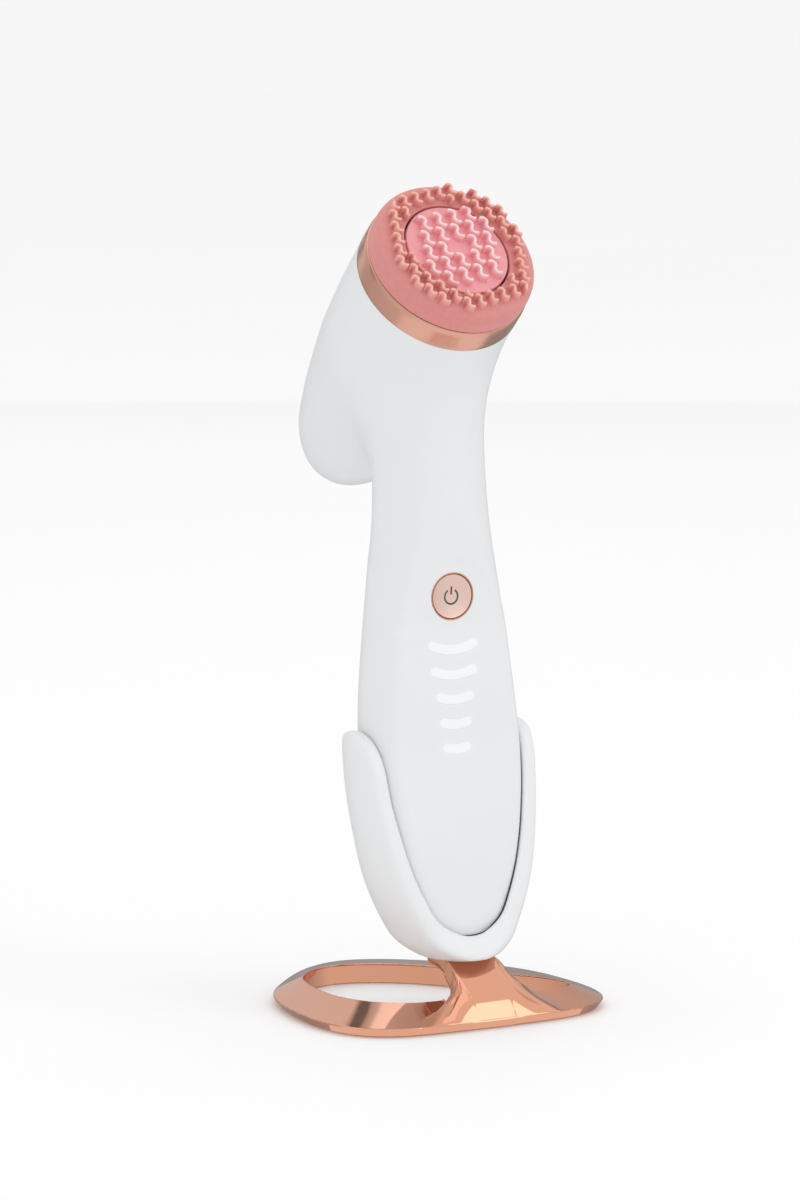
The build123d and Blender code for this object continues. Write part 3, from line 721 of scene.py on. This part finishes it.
def silicone(name, base, tip, rough, sss, radius, tip_amount=1.0):
    """Moulded silicone, soft scatter and a fine sheen; its colour follows a baked height attribute (0 body, 1 nub
    tip): painted shade low between the nubs, painted light on the nub tips.
    """
    n = Nodes(name)
    at = n.add("ShaderNodeAttribute")
    at.attribute_name = "tip"
    f = n.noise(700.0, 3.0)
    # base colour at the nub roots is painted shade, the paler tip colour is painted light
    mixed = n.ramp(at.outputs["Fac"], [(0.0, base), (0.55, tuple(0.6 * np.array(base) + 0.4 * np.array(tip))), (1.0, tip)])
    mul = n.add("ShaderNodeMix")
    mul.data_type = "RGBA"
    mul.blend_type = "MULTIPLY"
    mul.inputs[0].default_value = 1.0
    n.link(mixed, mul.inputs[6])
    n.link(n.ramp(f, [(0.35, (0.95, 0.94, 0.94)), (0.65, (1.0, 1.0, 1.0))]), mul.inputs[7])
    n.link(mul.outputs[2], n.b.inputs["Base Color"])
    n.link(n.maprange(f, 0.3, 0.7, rough - 0.05, rough + 0.06), n.b.inputs["Roughness"])
    n.bump(f, 0.15, 0.00002)
    n.set(Subsurface_Weight=sss, Subsurface_Scale=radius, Sheen_Weight=0.08, Sheen_Roughness=0.5, Specular_IOR_Level=0.42)
    n.b.inputs["Subsurface Radius"].default_value = (1.0, 0.45, 0.4)
    return n.m


# second colour of each pair is painted light on the nub tips, first is painted shade at their roots
M_SIL_RING = silicone("mat_silicone_ring", lin(218, 140, 136), lin(242, 182, 168), 0.5, 0.25, 0.0012)
M_SIL_CORE = silicone("mat_silicone_core", lin(243, 168, 174), lin(251, 214, 214), 0.42, 0.4, 0.0018)

# =====================================================================  solids
def ring_solid(profile, origin, zdir, seg=160):
    """Points and faces of a solid of revolution from a profile of radius, height. Open profiles start and end on the axis."""
    z = unit(zdir)
    x = np.array([1.0, 0, 0])
    y = np.cross(z, x)
    ang = np.linspace(0, 2 * math.pi, seg, endpoint=False)
    circle = np.cos(ang)[:, None] * x + np.sin(ang)[:, None] * y
    origin = np.array(origin, float)
    poles = profile[0][0] < 1e-6 and profile[-1][0] < 1e-6
    rings, co, faces = [], [], []
    for r, t in profile:
        if r < 1e-6:
            rings.append([len(co)] * seg)
            co.append(origin + z * t)
        else:
            rings.append(list(range(len(co), len(co) + seg)))
            co.extend(origin + z * t + circle * r)
    m = len(profile)
    for i in range(m if not poles else m - 1):
        a, b = rings[i], rings[(i + 1) % m]
        for k in range(seg):
            l = (k + 1) % seg
            q = [a[k], a[l], b[l], b[k]]
            f = []
            for v in q:
                if v not in f:
                    f.append(v)
            if len(f) > 2:
                faces.append(f)
    return np.array(co), faces


def mesh_volume(me):
    n = len(me.vertices)
    co = np.empty(n * 3)
    me.vertices.foreach_get("co", co)
    co = co.reshape(-1, 3)
    me.calc_loop_triangles()
    t = np.empty(len(me.loop_triangles) * 3, np.int32)
    me.loop_triangles.foreach_get("vertices", t)
    t = t.reshape(-1, 3)
    a, b, c = co[t[:, 0]], co[t[:, 1]], co[t[:, 2]]
    return float(np.einsum("ij,ij->i", a, np.cross(b, c)).sum() / 6)


def outward(ob):
    if mesh_volume(ob.data) < 0:
        ob.data.flip_normals()
    return ob


def prism(outline, plane_pt, depth0, depth1):
    """Closed prism: outline as 2-D points, plane_pt(u, v, d) gives the place in mm."""
    n = len(outline)
    co = [plane_pt(u, v, depth0) for u, v in outline] + [plane_pt(u, v, depth1) for u, v in outline]
    faces = [list(range(n))[::-1], list(range(n, 2 * n))]
    for i in range(n):
        j = (i + 1) % n
        faces.append([i, j, n + j, n + i])
    return np.array(co), faces


def merge(parts):
    co, faces, k = [], [], 0
    for c, f in parts:
        co.append(np.asarray(c, float))
        faces += [[v + k for v in q] for q in f]
        k += len(c)
    return np.concatenate(co), faces


def cutter(co, faces):
    return outward(make("cutter", co, faces, None))


def boolean(ob, tool, op):
    m = ob.modifiers.new("cut", "BOOLEAN")
    m.operation = op
    m.object = tool
    try:
        m.solver = "MANIFOLD"
    except TypeError:
        m.solver = "EXACT"
    before = len(ob.data.polygons)
    dg = bpy.context.evaluated_depsgraph_get()
    new = bpy.data.meshes.new_from_object(ob.evaluated_get(dg))
    if len(new.polygons) == 0 or len(new.polygons) == before:
        m.solver = "EXACT"
        dg = bpy.context.evaluated_depsgraph_get()
        new = bpy.data.meshes.new_from_object(ob.evaluated_get(dg))
    ob.modifiers.clear()
    ob.data = new
    return ob


def clean(ob, least=60):
    """Closes hairline slivers left by the cuts and drops crumbs of a few faces."""
    bm = bmesh.new()
    bm.from_mesh(ob.data)
    bmesh.ops.remove_doubles(bm, verts=bm.verts, dist=3e-6)
    bmesh.ops.dissolve_degenerate(bm, edges=bm.edges, dist=2e-6)
    bm.faces.ensure_lookup_table()
    bm.faces.index_update()
    seen, crumbs = set(), []
    for start in bm.faces:
        if start.index in seen:
            continue
        seen.add(start.index)
        group, todo = [start], [start]
        while todo:
            for e in todo.pop().edges:
                for g in e.link_faces:
                    if g.index not in seen:
                        seen.add(g.index)
                        group.append(g)
                        todo.append(g)
        if len(group) < least:
            crumbs += group
    bmesh.ops.delete(bm, geom=crumbs, context="FACES")
    bm.to_mesh(ob.data)
    bm.free()


def drop(*objs):
    for o in objs:
        bpy.data.objects.remove(o, do_unlink=True)


def copy(ob, name):
    new = ob.copy()
    new.data = ob.data.copy()
    new.name = name
    bpy.context.scene.collection.objects.link(new)
    return new


def points_of(me):
    co = np.empty(len(me.vertices) * 3)
    me.vertices.foreach_get("co", co)
    return co.reshape(-1, 3) / MM - SHIFT


def field_normals(me, f, tol=0.06, angle=24.0, sharp=32.0):
    """Custom normals: the field's own normal wherever a face follows it, and the mesh's own elsewhere."""
    me.polygons.foreach_set("use_smooth", [True] * len(me.polygons))
    me.set_sharp_from_angle(angle=math.radians(sharp))
    co = points_of(me)
    g = np.empty_like(co)
    for k in range(3):
        a, b = co.copy(), co.copy()
        a[:, k] += 0.03
        b[:, k] -= 0.03
        g[:, k] = f(a[:, 0], a[:, 1], a[:, 2]) - f(b[:, 0], b[:, 1], b[:, 2])
    g /= np.maximum(np.linalg.norm(g, axis=1, keepdims=True), 1e-12)
    near = np.abs(f(co[:, 0], co[:, 1], co[:, 2])) < tol
    nl = len(me.loops)
    vi = np.empty(nl, np.int32)
    me.loops.foreach_get("vertex_index", vi)
    cn = np.empty(nl * 3, np.float32)
    me.corner_normals.foreach_get("vector", cn)
    cn = cn.reshape(-1, 3).astype(float)
    fn = np.empty(len(me.polygons) * 3, np.float32)
    me.polygons.foreach_get("normal", fn)
    fn = fn.reshape(-1, 3)
    tot = np.empty(len(me.polygons), np.int32)
    me.polygons.foreach_get("loop_total", tot)
    pf = np.repeat(np.arange(len(tot)), tot)
    gl = g[vi]
    ok = near[vi] & ((gl * fn[pf]).sum(1) > math.cos(math.radians(angle)))
    cn[ok] = gl[ok]
    me.normals_split_custom_set([tuple(v) for v in cn])


def attribute(me, name, values):
    a = me.attributes.new(name, "FLOAT", "POINT")
    a.data.foreach_set("value", np.asarray(values, np.float32))


def dress(ob, material, body, node=None, slot=None):
    ob.data.materials.clear()
    ob.data.materials.append(material)
    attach(ob, body)
    if node:
        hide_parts(*([node] if isinstance(node, str) else node))
    return ob


def h_point(x, y, z):
    return HO + np.array([x, 0, 0]) + HY * y + HZ * z


def k_point(u, v, w):
    return KC + np.array([u, 0, 0]) + KU * v + KN * w


# =====================================================================  light bar outlines
BARS = [(14.0, -5.3), (13.2, -11.5), (10.9, -17.7), (9.1, -23.9), (8.0, -30.0)]
BAR_H = 2.5


def bar_outline(width, grow=0.0, n=28):
    """Smile-shaped pill in x, z, round ends."""
    h = BAR_H / 2 + grow
    a = width / 2 - BAR_H / 2
    sag = 1.25 * (width / 14.0) ** 2
    xs = np.linspace(-a, a, n)
    mid = -sag / 2 + sag * (xs / a) ** 2
    slope = 2 * sag * xs / a ** 2
    nx, nz = -slope / np.hypot(slope, 1), 1 / np.hypot(slope, 1)
    up = np.stack([xs + nx * h, mid + nz * h], 1)
    lo = np.stack([xs - nx * h, mid - nz * h], 1)[::-1]
    t1 = math.atan2(nz[-1], nx[-1])
    right = [(xs[-1] + h * math.cos(t), mid[-1] + h * math.sin(t)) for t in np.linspace(t1, t1 - math.pi, 14)[1:-1]]
    t0 = math.atan2(-nz[0], -nx[0])
    left = [(xs[0] + h * math.cos(t), mid[0] + h * math.sin(t)) for t in np.linspace(t0, t0 - math.pi, 14)[1:-1]]
    return list(map(tuple, up)) + right + list(map(tuple, lo)) + left


def bars_depth(co):
    """Distance inside the nearest bar outline, mm; negative outside."""
    x, _, zl = h_coords(co[:, 0], co[:, 1], co[:, 2])
    best = np.full(len(co), -50.0)
    for w, z in BARS:
        a = w / 2 - BAR_H / 2
        sag = 1.25 * (w / 14.0) ** 2
        s = np.linspace(-a, a, 40)
        m = z - sag / 2 + sag * (s / a) ** 2
        d = np.full(len(co), 1e9)
        for si, mi in zip(s, m):
            d = np.minimum(d, np.hypot(x - si, zl - mi))
        best = np.maximum(best, BAR_H / 2 - d)
    return best


# =====================================================================  housing
H_STEP = 0.62
body_co, body_q = contour(f_body, (-23.2, -42.0, 17.5), (23.2, 50.5, 203.0), H_STEP)
inner_co, inner_q = contour(f_inside, (-20.2, -30.0, 19.0), (20.2, 47.0, 190.0), 1.0)
solid = make("solid_tmp", body_co, body_q, None)
hollow = make("hollow_tmp", inner_co, inner_q, None)

mouth = cutter(*ring_solid([(0, 0.0), (60, 0.0), (60, 60), (0, 60)], P0, BZ, 96))
bore = cutter(*ring_solid([(0, -27.0), (17.5, -27.0), (17.5, 4.0), (0, 4.0)], P0, BZ, 160))
KBUT = 5.87
pocket = cutter(*ring_solid([(0, -6.0), (KBUT, -6.0), (KBUT, 4.0), (0, 4.0)], KC, KN, 120))


def h_box(x0, x1, y0, y1, z0, z1):
    return prism([(x0, z0), (x1, z0), (x1, z1), (x0, z1)], lambda u, v, d: h_point(u, d, v), y0, y1)


rear_big = cutter(*h_box(-40, 40, 9.4, 60, -66.15, 22.15))
rear_fit = cutter(*h_box(-40, 40, 10.0, 60, -66.0, 22.0))
SCREWS = [(-4.5, 15.2, 10.8), (4.5, 15.2, 10.8), (-5.0, -57.0, 12.6), (5.0, -57.0, 12.6)]


def y_rod(r, y0, y1, x, z, seg=48):
    ang = np.linspace(0, 2 * math.pi, seg, endpoint=False)
    return prism([(x + r * math.cos(a), z + r * math.sin(a)) for a in ang], lambda u, v, d: h_point(u, d, v), y0, y1)


slots = cutter(*merge([prism([(u, v + z) for u, v in bar_outline(w, 0.02)], lambda u, v, d: h_point(u, d, v), -16.0, -5.4)
                       for w, z in BARS]))
bar_cut = cutter(*merge([prism([(u, v + z) for u, v in bar_outline(w, 0.0)], lambda u, v, d: h_point(u, d, v), -16.0, -5.4)
                         for w, z in BARS]))

shell = copy(solid, "shell_tmp")
boolean(shell, mouth, "DIFFERENCE")
boolean(shell, hollow, "DIFFERENCE")

housing = copy(shell, "housing_shell")
for tool in (bore, rear_big, pocket, slots):
    boolean(housing, tool, "DIFFERENCE")
cover = copy(shell, "rear_cover_shell")
boolean(cover, rear_fit, "INTERSECT")
bosses = cutter(*merge([y_rod(3.3, 10.0, 14.2, x, z) for x, z, seat in SCREWS]))
boolean(bosses, copy(solid, "tmp_a"), "INTERSECT")
boolean(cover, bosses, "UNION")
holes = cutter(*merge([y_rod(2.25, seat, 26.0, x, z) for x, z, seat in SCREWS]))
small = cutter(*merge([y_rod(1.1, 8.0, seat + 0.5, x, z) for x, z, seat in SCREWS]))
boolean(cover, holes, "DIFFERENCE")
boolean(cover, small, "DIFFERENCE")
plugs = cutter(*merge([y_rod(2.2, seat + 0.95, 26.0, x, z) for x, z, seat in SCREWS]))
plugs.name = "screw_plug_set"
boolean(plugs, solid, "INTERSECT")
bars = copy(solid, "light_bar_set")
boolean(bars, hollow, "DIFFERENCE")
boolean(bars, bar_cut, "INTERSECT")

for o in (housing, cover):
    clean(o)
for o in (housing, cover, plugs, bars):
    field_normals(o.data, f_body)
hc = points_of(housing.data)
depth = bars_depth(hc)
attribute(housing.data, "glow", np.exp(-np.maximum(-depth, 0) / 0.75) * (hc[:, 1] < -12))
attribute(bars.data, "glow", np.clip(0.35 + bars_depth(points_of(bars.data)) / 0.8, 0, 1))
dress(housing, M_WHITE, "handset", "front_housing", "white_plastic")
dress(cover, M_WHITE, "handset", "rear_cover", "white_plastic")
dress(plugs, M_WRUB, "handset", "screw_plugs", "white_rubber")
dress(bars, M_LIGHT, "handset", "light_bars", "light_diffuser")
drop(*[o for o in bpy.context.scene.objects if o.name.startswith(("cutter", "solid_tmp", "hollow_tmp", "shell_tmp", "tmp_"))])

# =====================================================================  button
dish = [(r, -0.62 + r * r / 45.6) for r in np.linspace(0, 5.05, 22)]
cap = [(5.2, 0.0), (5.34, 0.02), (5.44, -0.06), (5.48, -0.2), (5.48, -1.06), (1.5, -1.1), (1.5, -2.6), (0, -2.6)]
co, faces = ring_solid(dish + cap, KC, KN, 144)
button = outward(make("power_button_cap", co, faces, 40.0))
mark_parts = []


def mark_solid(outline, inner=None):
    def top(u, v):
        return -0.62 + (u * u + v * v) / 45.6 + 0.012
    n = len(outline)
    co = [k_point(u, v, top(u, v)) for u, v in outline] + [k_point(u, v, top(u, v) - 0.25) for u, v in outline]
    return co, n


def strip_solid(left, right):
    """Closed solid between two polylines lying on the dish."""
    n = len(left)
    co, faces = [], []
    for lift in (0.012, -0.2):
        for side in (left, right):
            for u, v in side:
                co.append(k_point(u, v, -0.62 + (u * u + v * v) / 45.6 + lift))
    L0, R0, L1, R1 = 0, n, 2 * n, 3 * n
    for i in range(n - 1):
        faces += [[L0 + i, L0 + i + 1, R0 + i + 1, R0 + i], [L1 + i, R1 + i, R1 + i + 1, L1 + i + 1],
                  [L0 + i, L1 + i, L1 + i + 1, L0 + i + 1], [R0 + i, R0 + i + 1, R1 + i + 1, R1 + i]]
    faces += [[L0, R0, R1, L1], [L0 + n - 1, L1 + n - 1, R1 + n - 1, R0 + n - 1]]
    return np.array(co), faces


gap = math.radians(33)
arc = np.linspace(math.pi / 2 + gap, math.pi / 2 - gap + 2 * math.pi, 60)
ring_in = [(1.58 * math.cos(a), -0.15 + 1.58 * math.sin(a)) for a in arc]
ring_out = [(2.05 * math.cos(a), -0.15 + 2.05 * math.sin(a)) for a in arc]
stroke = [(-0.24, v) for v in np.linspace(0.35, 2.35, 9)]
stroke_r = [(0.24, v) for v in np.linspace(0.35, 2.35, 9)]
mark = make("power_mark_inlay", *merge([strip_solid(ring_in, ring_out), strip_solid(stroke, stroke_r)]), 40.0)
outward(mark)
lip = [(5.6, -1.2), (5.6, 0.0), (5.64, 0.06), (5.72, 0.09), (5.84, 0.08), (5.93, 0.03), (5.95, 0.008), (5.85, 0.004), (5.85, -1.2)]
bezel = outward(make("button_bezel_ring", *ring_solid(lip, KC, KN, 144), 40.0))
dress(button, M_BUTTON, "button", "power_button", "rose_gold_button")
dress(mark, M_MARK, "button", "button_mark", "mark_grey")
dress(bezel, M_BEZEL, "handset", "button_bezel", "rose_gold_polished")

# =====================================================================  metal ring of the head
prof = round_profile([(16.42, -4.98), (17.42, -4.98), (17.42, 0.02), (21.26, 0.02), (21.34, 0.9), (21.3, 5.2), (21.05, 6.42), (16.42, 6.42)],
                     [0.15, 0.15, 0, 0.12, 0.5, 0.9, 0.32, 0.15], 6)
ring = outward(make("head_ring_band", *ring_solid(prof, P0, BZ, 288), 30.0))
dress(ring, M_RING, "handset", "head_ring", "rose_gold_satin")

# =====================================================================  silicone brush
FACE, NUB = 12.4, 2.3
TURN = math.radians(-45.0)
CA, SA = math.cos(TURN), math.sin(TURN)


def s_line(r, n=26):
    """Centre line of one fin: two arcs of opposite bend."""
    pts = []
    for a in np.linspace(math.radians(150), 0, n):
        pts.append((-r + r * math.cos(a), r * math.sin(a)))
    for a in np.linspace(math.pi, math.radians(330), n)[1:]:
        pts.append((r + r * math.cos(a), r * math.sin(a)))
    return np.array(pts)


def lattice(px, py, r, keep):
    out = []
    base = s_line(r)
    for i in range(-9, 10):
        for j in range(-11, 12):
            u, v = i * px + (px / 2 if j % 2 else 0.0), j * py
            x, y = u * CA - v * SA, u * SA + v * CA
            if keep(math.hypot(x, y)):
                turn = RNG.uniform(-0.05, 0.05)
                c, s = math.cos(turn), math.sin(turn)
                p = base @ np.array([[c, s], [-s, c]])
                q = np.stack([(p[:, 0] + u) * CA - (p[:, 1] + v) * SA, (p[:, 0] + u) * SA + (p[:, 1] + v) * CA], 1)
                out.append(q)
    return out


def line_field(lines, half, h):
    n = int(2 * half / h) + 1
    g = -half + h * np.arange(n)
    D = np.full((n, n), 9.0)
    for q in lines:
        i0 = np.clip(((q.min(0) + half - 2.0) / h).astype(int), 0, n - 1)
        i1 = np.clip(((q.max(0) + half + 2.0) / h).astype(int) + 1, 0, n)
        X, Y = np.meshgrid(g[i0[0]:i1[0]], g[i0[1]:i1[1]], indexing="ij")
        d = np.full(X.shape, 99.0)
        for (ax, ay), (bx, by) in zip(q[:-1], q[1:]):
            dx, dy = bx - ax, by - ay
            t = np.clip(((X - ax) * dx + (Y - ay) * dy) / (dx * dx + dy * dy), 0, 1)
            d = np.minimum(d, (X - ax - t * dx) ** 2 + (Y - ay - t * dy) ** 2)
        s = (slice(i0[0], i1[0]), slice(i0[1], i1[1]))
        D[s] = np.minimum(D[s], np.sqrt(d))

    def f(u, v):
        i = np.clip((u + half) / h, 0, n - 1.001)
        j = np.clip((v + half) / h, 0, n - 1.001)
        i0, j0 = i.astype(int), j.astype(int)
        a, b = i - i0, j - j0
        return (D[i0, j0] * (1 - a) * (1 - b) + D[i0 + 1, j0] * a * (1 - b) + D[i0, j0 + 1] * (1 - a) * b
                + D[i0 + 1, j0 + 1] * a * b)
    return f


def brush_part(profile, rounds, lines, w0, w1, r_lo, r_hi, height=NUB):
    prof = poly_field(round_profile(profile, rounds, 8), (-1.0, 5.0), (23.0, 14.5), 0.05)
    lf = line_field(lines, 21.0, 0.05)

    def f(u, v, t):
        r = np.hypot(u, v)
        d = prof(r, t)
        k = np.clip((t - FACE) / height, -0.2, 1)
        fin = (lf(u, v) - (w0 + (w1 - w0) * k)) * 0.97
        fin = smax(fin, t - FACE - height, 0.5)
        fin = smax(fin, r_lo - r, 0.5)
        fin = smax(fin, r - r_hi, 0.5)
        fin = np.maximum(fin, FACE - 0.6 - t)
        return smin(d, fin, 0.55)
    return f


def from_head(p):
    return P0 + p[:, 0:1] * BX + p[:, 1:2] * BY + p[:, 2:3] * BZ


def brush(name, f, lo, hi, h, mat, body, node, slot):
    co, q = contour(f, lo, hi, h, 1)
    # tip: 0 at the nub roots, 1 at the tips; it drives the painted shade between the nubs and the painted light on
    # their tips
    tip = np.clip((co[:, 2] - FACE - 0.1) / (NUB - 0.25), 0, 1)
    spot = np.exp(-(np.hypot(co[:, 0], co[:, 1]) / 3.1) ** 4)
    world = from_head(co)
    ob = make(name, world, q, 50.0)
    outward(ob)
    attribute(ob.data, "tip", tip ** 1.2)
    attribute(ob.data, "spot", spot)
    return dress(ob, mat, body, node, slot)


B_STEP = 0.24
ring_lines = lattice(3.75, 3.05, 0.80, lambda d: 14.3 < d < 18.9)
core_lines = lattice(5.0, 3.8, 1.06, lambda d: 2.6 < d < 12.3)
f_ring = brush_part([(13.72, 9.06), (20.24, 9.06), (20.24, 6.6), (20.95, 6.6), (20.97, 9.4), (20.7, 10.9), (19.9, 11.95), (18.6, 12.4), (13.72, 12.4)],
                    [0.1, 0, 0, 0.15, 1.2, 1.1, 1.1, 1.2, 0.3], ring_lines, 0.56, 0.30, 13.95, 19.6)
f_core = brush_part([(-6, 9.36), (13.22, 9.36), (13.22, 12.4), (-6, 12.4)], [0, 0.1, 0.4, 0], core_lines, 0.62, 0.32, 2.7, 12.95)
brush("brush_ring_silicone", f_ring, (-21.6, -21.6, 5.9), (21.6, 21.6, 15.4), B_STEP, M_SIL_RING, "brush_outer", "brush_ring", "silicone_salmon")
brush("brush_core_silicone", f_core, (-13.9, -13.9, 8.7), (13.9, 13.9, 15.4), B_STEP, M_SIL_CORE, "brush_inner", "brush_core", "silicone_pink")

# =====================================================================  cradle and base
co, q = contour(f_cradle, (-25.6, -42.0, 13.9), (25.6, 6.0, 73.0), 0.55)
cradle = outward(make("cradle_band", co, q, 40.0))
field_normals(cradle.data, f_cradle, 0.1, 20.0, 40.0)
dress(cradle, M_CRADLE, "stand", "cradle", "white_plastic")

co, q = contour(f_base_cut, (-41.6, -43.2, -0.6), (41.6, 43.2, 16.6), 0.36)
base = outward(make("base_ring_metal", co, q, 40.0))
field_normals(base.data, f_base, 0.06, 16.0, 30.0)
dress(base, M_BASE, "stand", "base_ring", "rose_gold_polished")

# =====================================================================  parts kept as built
BY_SLOT = {"grey_plastic": M_GREY, "white_plastic": M_WHITE, "white_rubber": M_WRUB, "seal_rubber": M_SEAL, "rubber_feet": M_DARK,
           "steel_fasteners": M_STEEL, "steel": M_STEEL, "bronze": M_BRONZE, "copper": M_COPPER, "magnet": M_MAGNET,
           "ferrite": M_FERRITE, "circuit_board": M_BOARD, "battery_wrap": M_CELL, "led_white": M_GREY, "rose_gold_polished": M_BASE,
           "rose_gold_satin": M_RING, "rose_gold_button": M_BUTTON, "mark_grey": M_MARK, "silicone_salmon": M_SIL_RING,
           "silicone_pink": M_SIL_CORE, "light_diffuser": M_LIGHT}
SLOT_OF = {n["node"]: n["material_slot"] for n in frame["record"]["subparts"]}
for name, ob in frame["nodes"].items():
    if ob.hide_render:
        continue
    slot = SLOT_OF.get(name)
    if slot in BY_SLOT:
        ob.data.materials.clear()
        ob.data.materials.append(BY_SLOT[slot])
    ob.data.polygons.foreach_set("use_smooth", [True] * len(ob.data.polygons))
    ob.data.set_sharp_from_angle(angle=math.radians(30))

# =====================================================================  floor, light, camera
floor_m = Nodes("mat_floor")
fn = floor_m.noise(3.0, 2.0)
floor_m.link(floor_m.ramp(fn, [(0.3, (0.95, 0.95, 0.95)), (0.7, (0.96, 0.96, 0.96))]), floor_m.b.inputs["Base Color"])
floor_m.set(Roughness=0.75, Specular_IOR_Level=0.2)
me = bpy.data.meshes.new("floor")
S = 30.0
me.from_pydata([(-S, -S, 0), (S, -S, 0), (S, S, 0), (-S, S, 0)], [], [(0, 1, 2, 3)])
floor = bpy.data.objects.new("floor", me)
bpy.context.scene.collection.objects.link(floor)
me.materials.append(floor_m.m)
floor.visible_glossy = False

# Curved card behind and beside the object, seen only in the polished metal.
SEG, LEV = 900, 20
LOWER = [(-180, 0.85), (-90, 0.8), (-40, 0.6), (0, 0.36), (60, 0.36), (90, 0.6), (135, 0.85), (180, 0.85)]
TENT = [(-180, 0.95), (-165, 0.9), (-150, 0.75), (-120, 0.5), (-100, 0.85), (-80, 0.6), (-62, 0.7), (-50, 0.25), (-42, 0.75), (-25, 0.6),
        (-15, 0.95), (-5, 0.55), (4, 0.2), (9, 0.6), (16, 0.75), (23.8, 0.74), (24.3, 0.16), (25.6, 0.18), (26.1, 0.55), (26.9, 0.62),
        (27.2, 1.05), (29.2, 1.1), (29.7, 0.62), (36, 0.58), (46, 0.55), (52, 0.3), (57, 0.7), (68, 0.85), (80, 0.6), (100, 0.35),
        (115, 0.8), (135, 0.9), (150, 1.1), (165, 1.1), (180, 0.95)]
pts, faces, val = [], [], []
for j in range(LEV + 1):
    for i in range(SEG):
        a = 2 * math.pi * i / SEG - math.pi
        r, z = 1.6, -1.5 + 3.0 * (j / LEV)
        pts.append((r * math.sin(a), r * math.cos(a), z))
        k = math.degrees(a)
        base_v = np.interp(k, [p[0] for p in TENT], [p[1] for p in TENT])
        low_v = np.interp(k, [p[0] for p in LOWER], [p[1] for p in LOWER])
        val.append(low_v if j <= LEV // 2 else base_v * np.interp(j / LEV, [0.5, 0.65, 1], [0.85, 1.0, 1.25]))
for j in range(LEV):
    for i in range(SEG):
        l = (i + 1) % SEG
        faces.append((j * SEG + i, j * SEG + l, (j + 1) * SEG + l, (j + 1) * SEG + i))
me = bpy.data.meshes.new("tent")
me.from_pydata(pts, [], faces)
tent = bpy.data.objects.new("tent", me)
bpy.context.scene.collection.objects.link(tent)
attribute(me, "tent", val)
tm = bpy.data.materials.new("mat_tent")
tm.use_nodes = True
tm.node_tree.nodes.clear()
to = tm.node_tree.nodes.new("ShaderNodeOutputMaterial")
te = tm.node_tree.nodes.new("ShaderNodeEmission")
ta = tm.node_tree.nodes.new("ShaderNodeAttribute")
ta.attribute_name = "tent"
tm.node_tree.links.new(ta.outputs["Fac"], te.inputs["Strength"])
tm.node_tree.links.new(te.outputs[0], to.inputs[0])
me.materials.append(tm)
tent.visible_camera = tent.visible_diffuse = tent.visible_shadow = tent.visible_transmission = False


def area(name, place, aim, size, power, color=(1, 1, 1), sy=None):
    l = bpy.data.lights.new(name, "AREA")
    l.energy, l.color, l.size = power, color, size
    if sy:
        l.shape, l.size_y = "RECTANGLE", sy
    o = bpy.data.objects.new(name, l)
    o.location = place
    o.rotation_euler = (Vector(aim) - Vector(place)).to_track_quat("-Z", "Y").to_euler()
    bpy.context.scene.collection.objects.link(o)
    o.visible_camera = False
    return o


area("key", (1.1, -1.3, 1.6), (0, 0, 0.1), 1.0, 3.2)
area("top", (0.0, 0.3, 2.2), (0, 0, 0.1), 1.8, 2.4)
world = bpy.data.worlds.new("soft")
bpy.context.scene.world = world
world.use_nodes = True
world.node_tree.nodes["Background"].inputs[0].default_value = (1.0, 1.0, 1.0, 1)
world.node_tree.nodes["Background"].inputs[1].default_value = 0.97
bpy.context.scene.view_settings.view_transform = "Standard"
bpy.context.scene.view_settings.look = "None"

AZ, PITCH, DIST = math.radians(-29.5), math.radians(7.6), 1.2346
target = Vector((-0.00299, 0.00034, 0.100))
back = Vector((math.sin(AZ) * math.cos(PITCH), -math.cos(AZ) * math.cos(PITCH), math.sin(PITCH)))
cam_d = bpy.data.cameras.new("camera")
cam_d.lens, cam_d.sensor_width, cam_d.sensor_fit = 150.0, 36.0, "AUTO"
cam_d.clip_start, cam_d.clip_end = 0.05, 100.0
cam = bpy.data.objects.new("camera", cam_d)
cam.location = target + back * DIST
cam.rotation_euler = (-back).to_track_quat("-Z", "Y").to_euler()
bpy.context.scene.collection.objects.link(cam)
bpy.context.scene.camera = cam

bpy.context.view_layer.update()
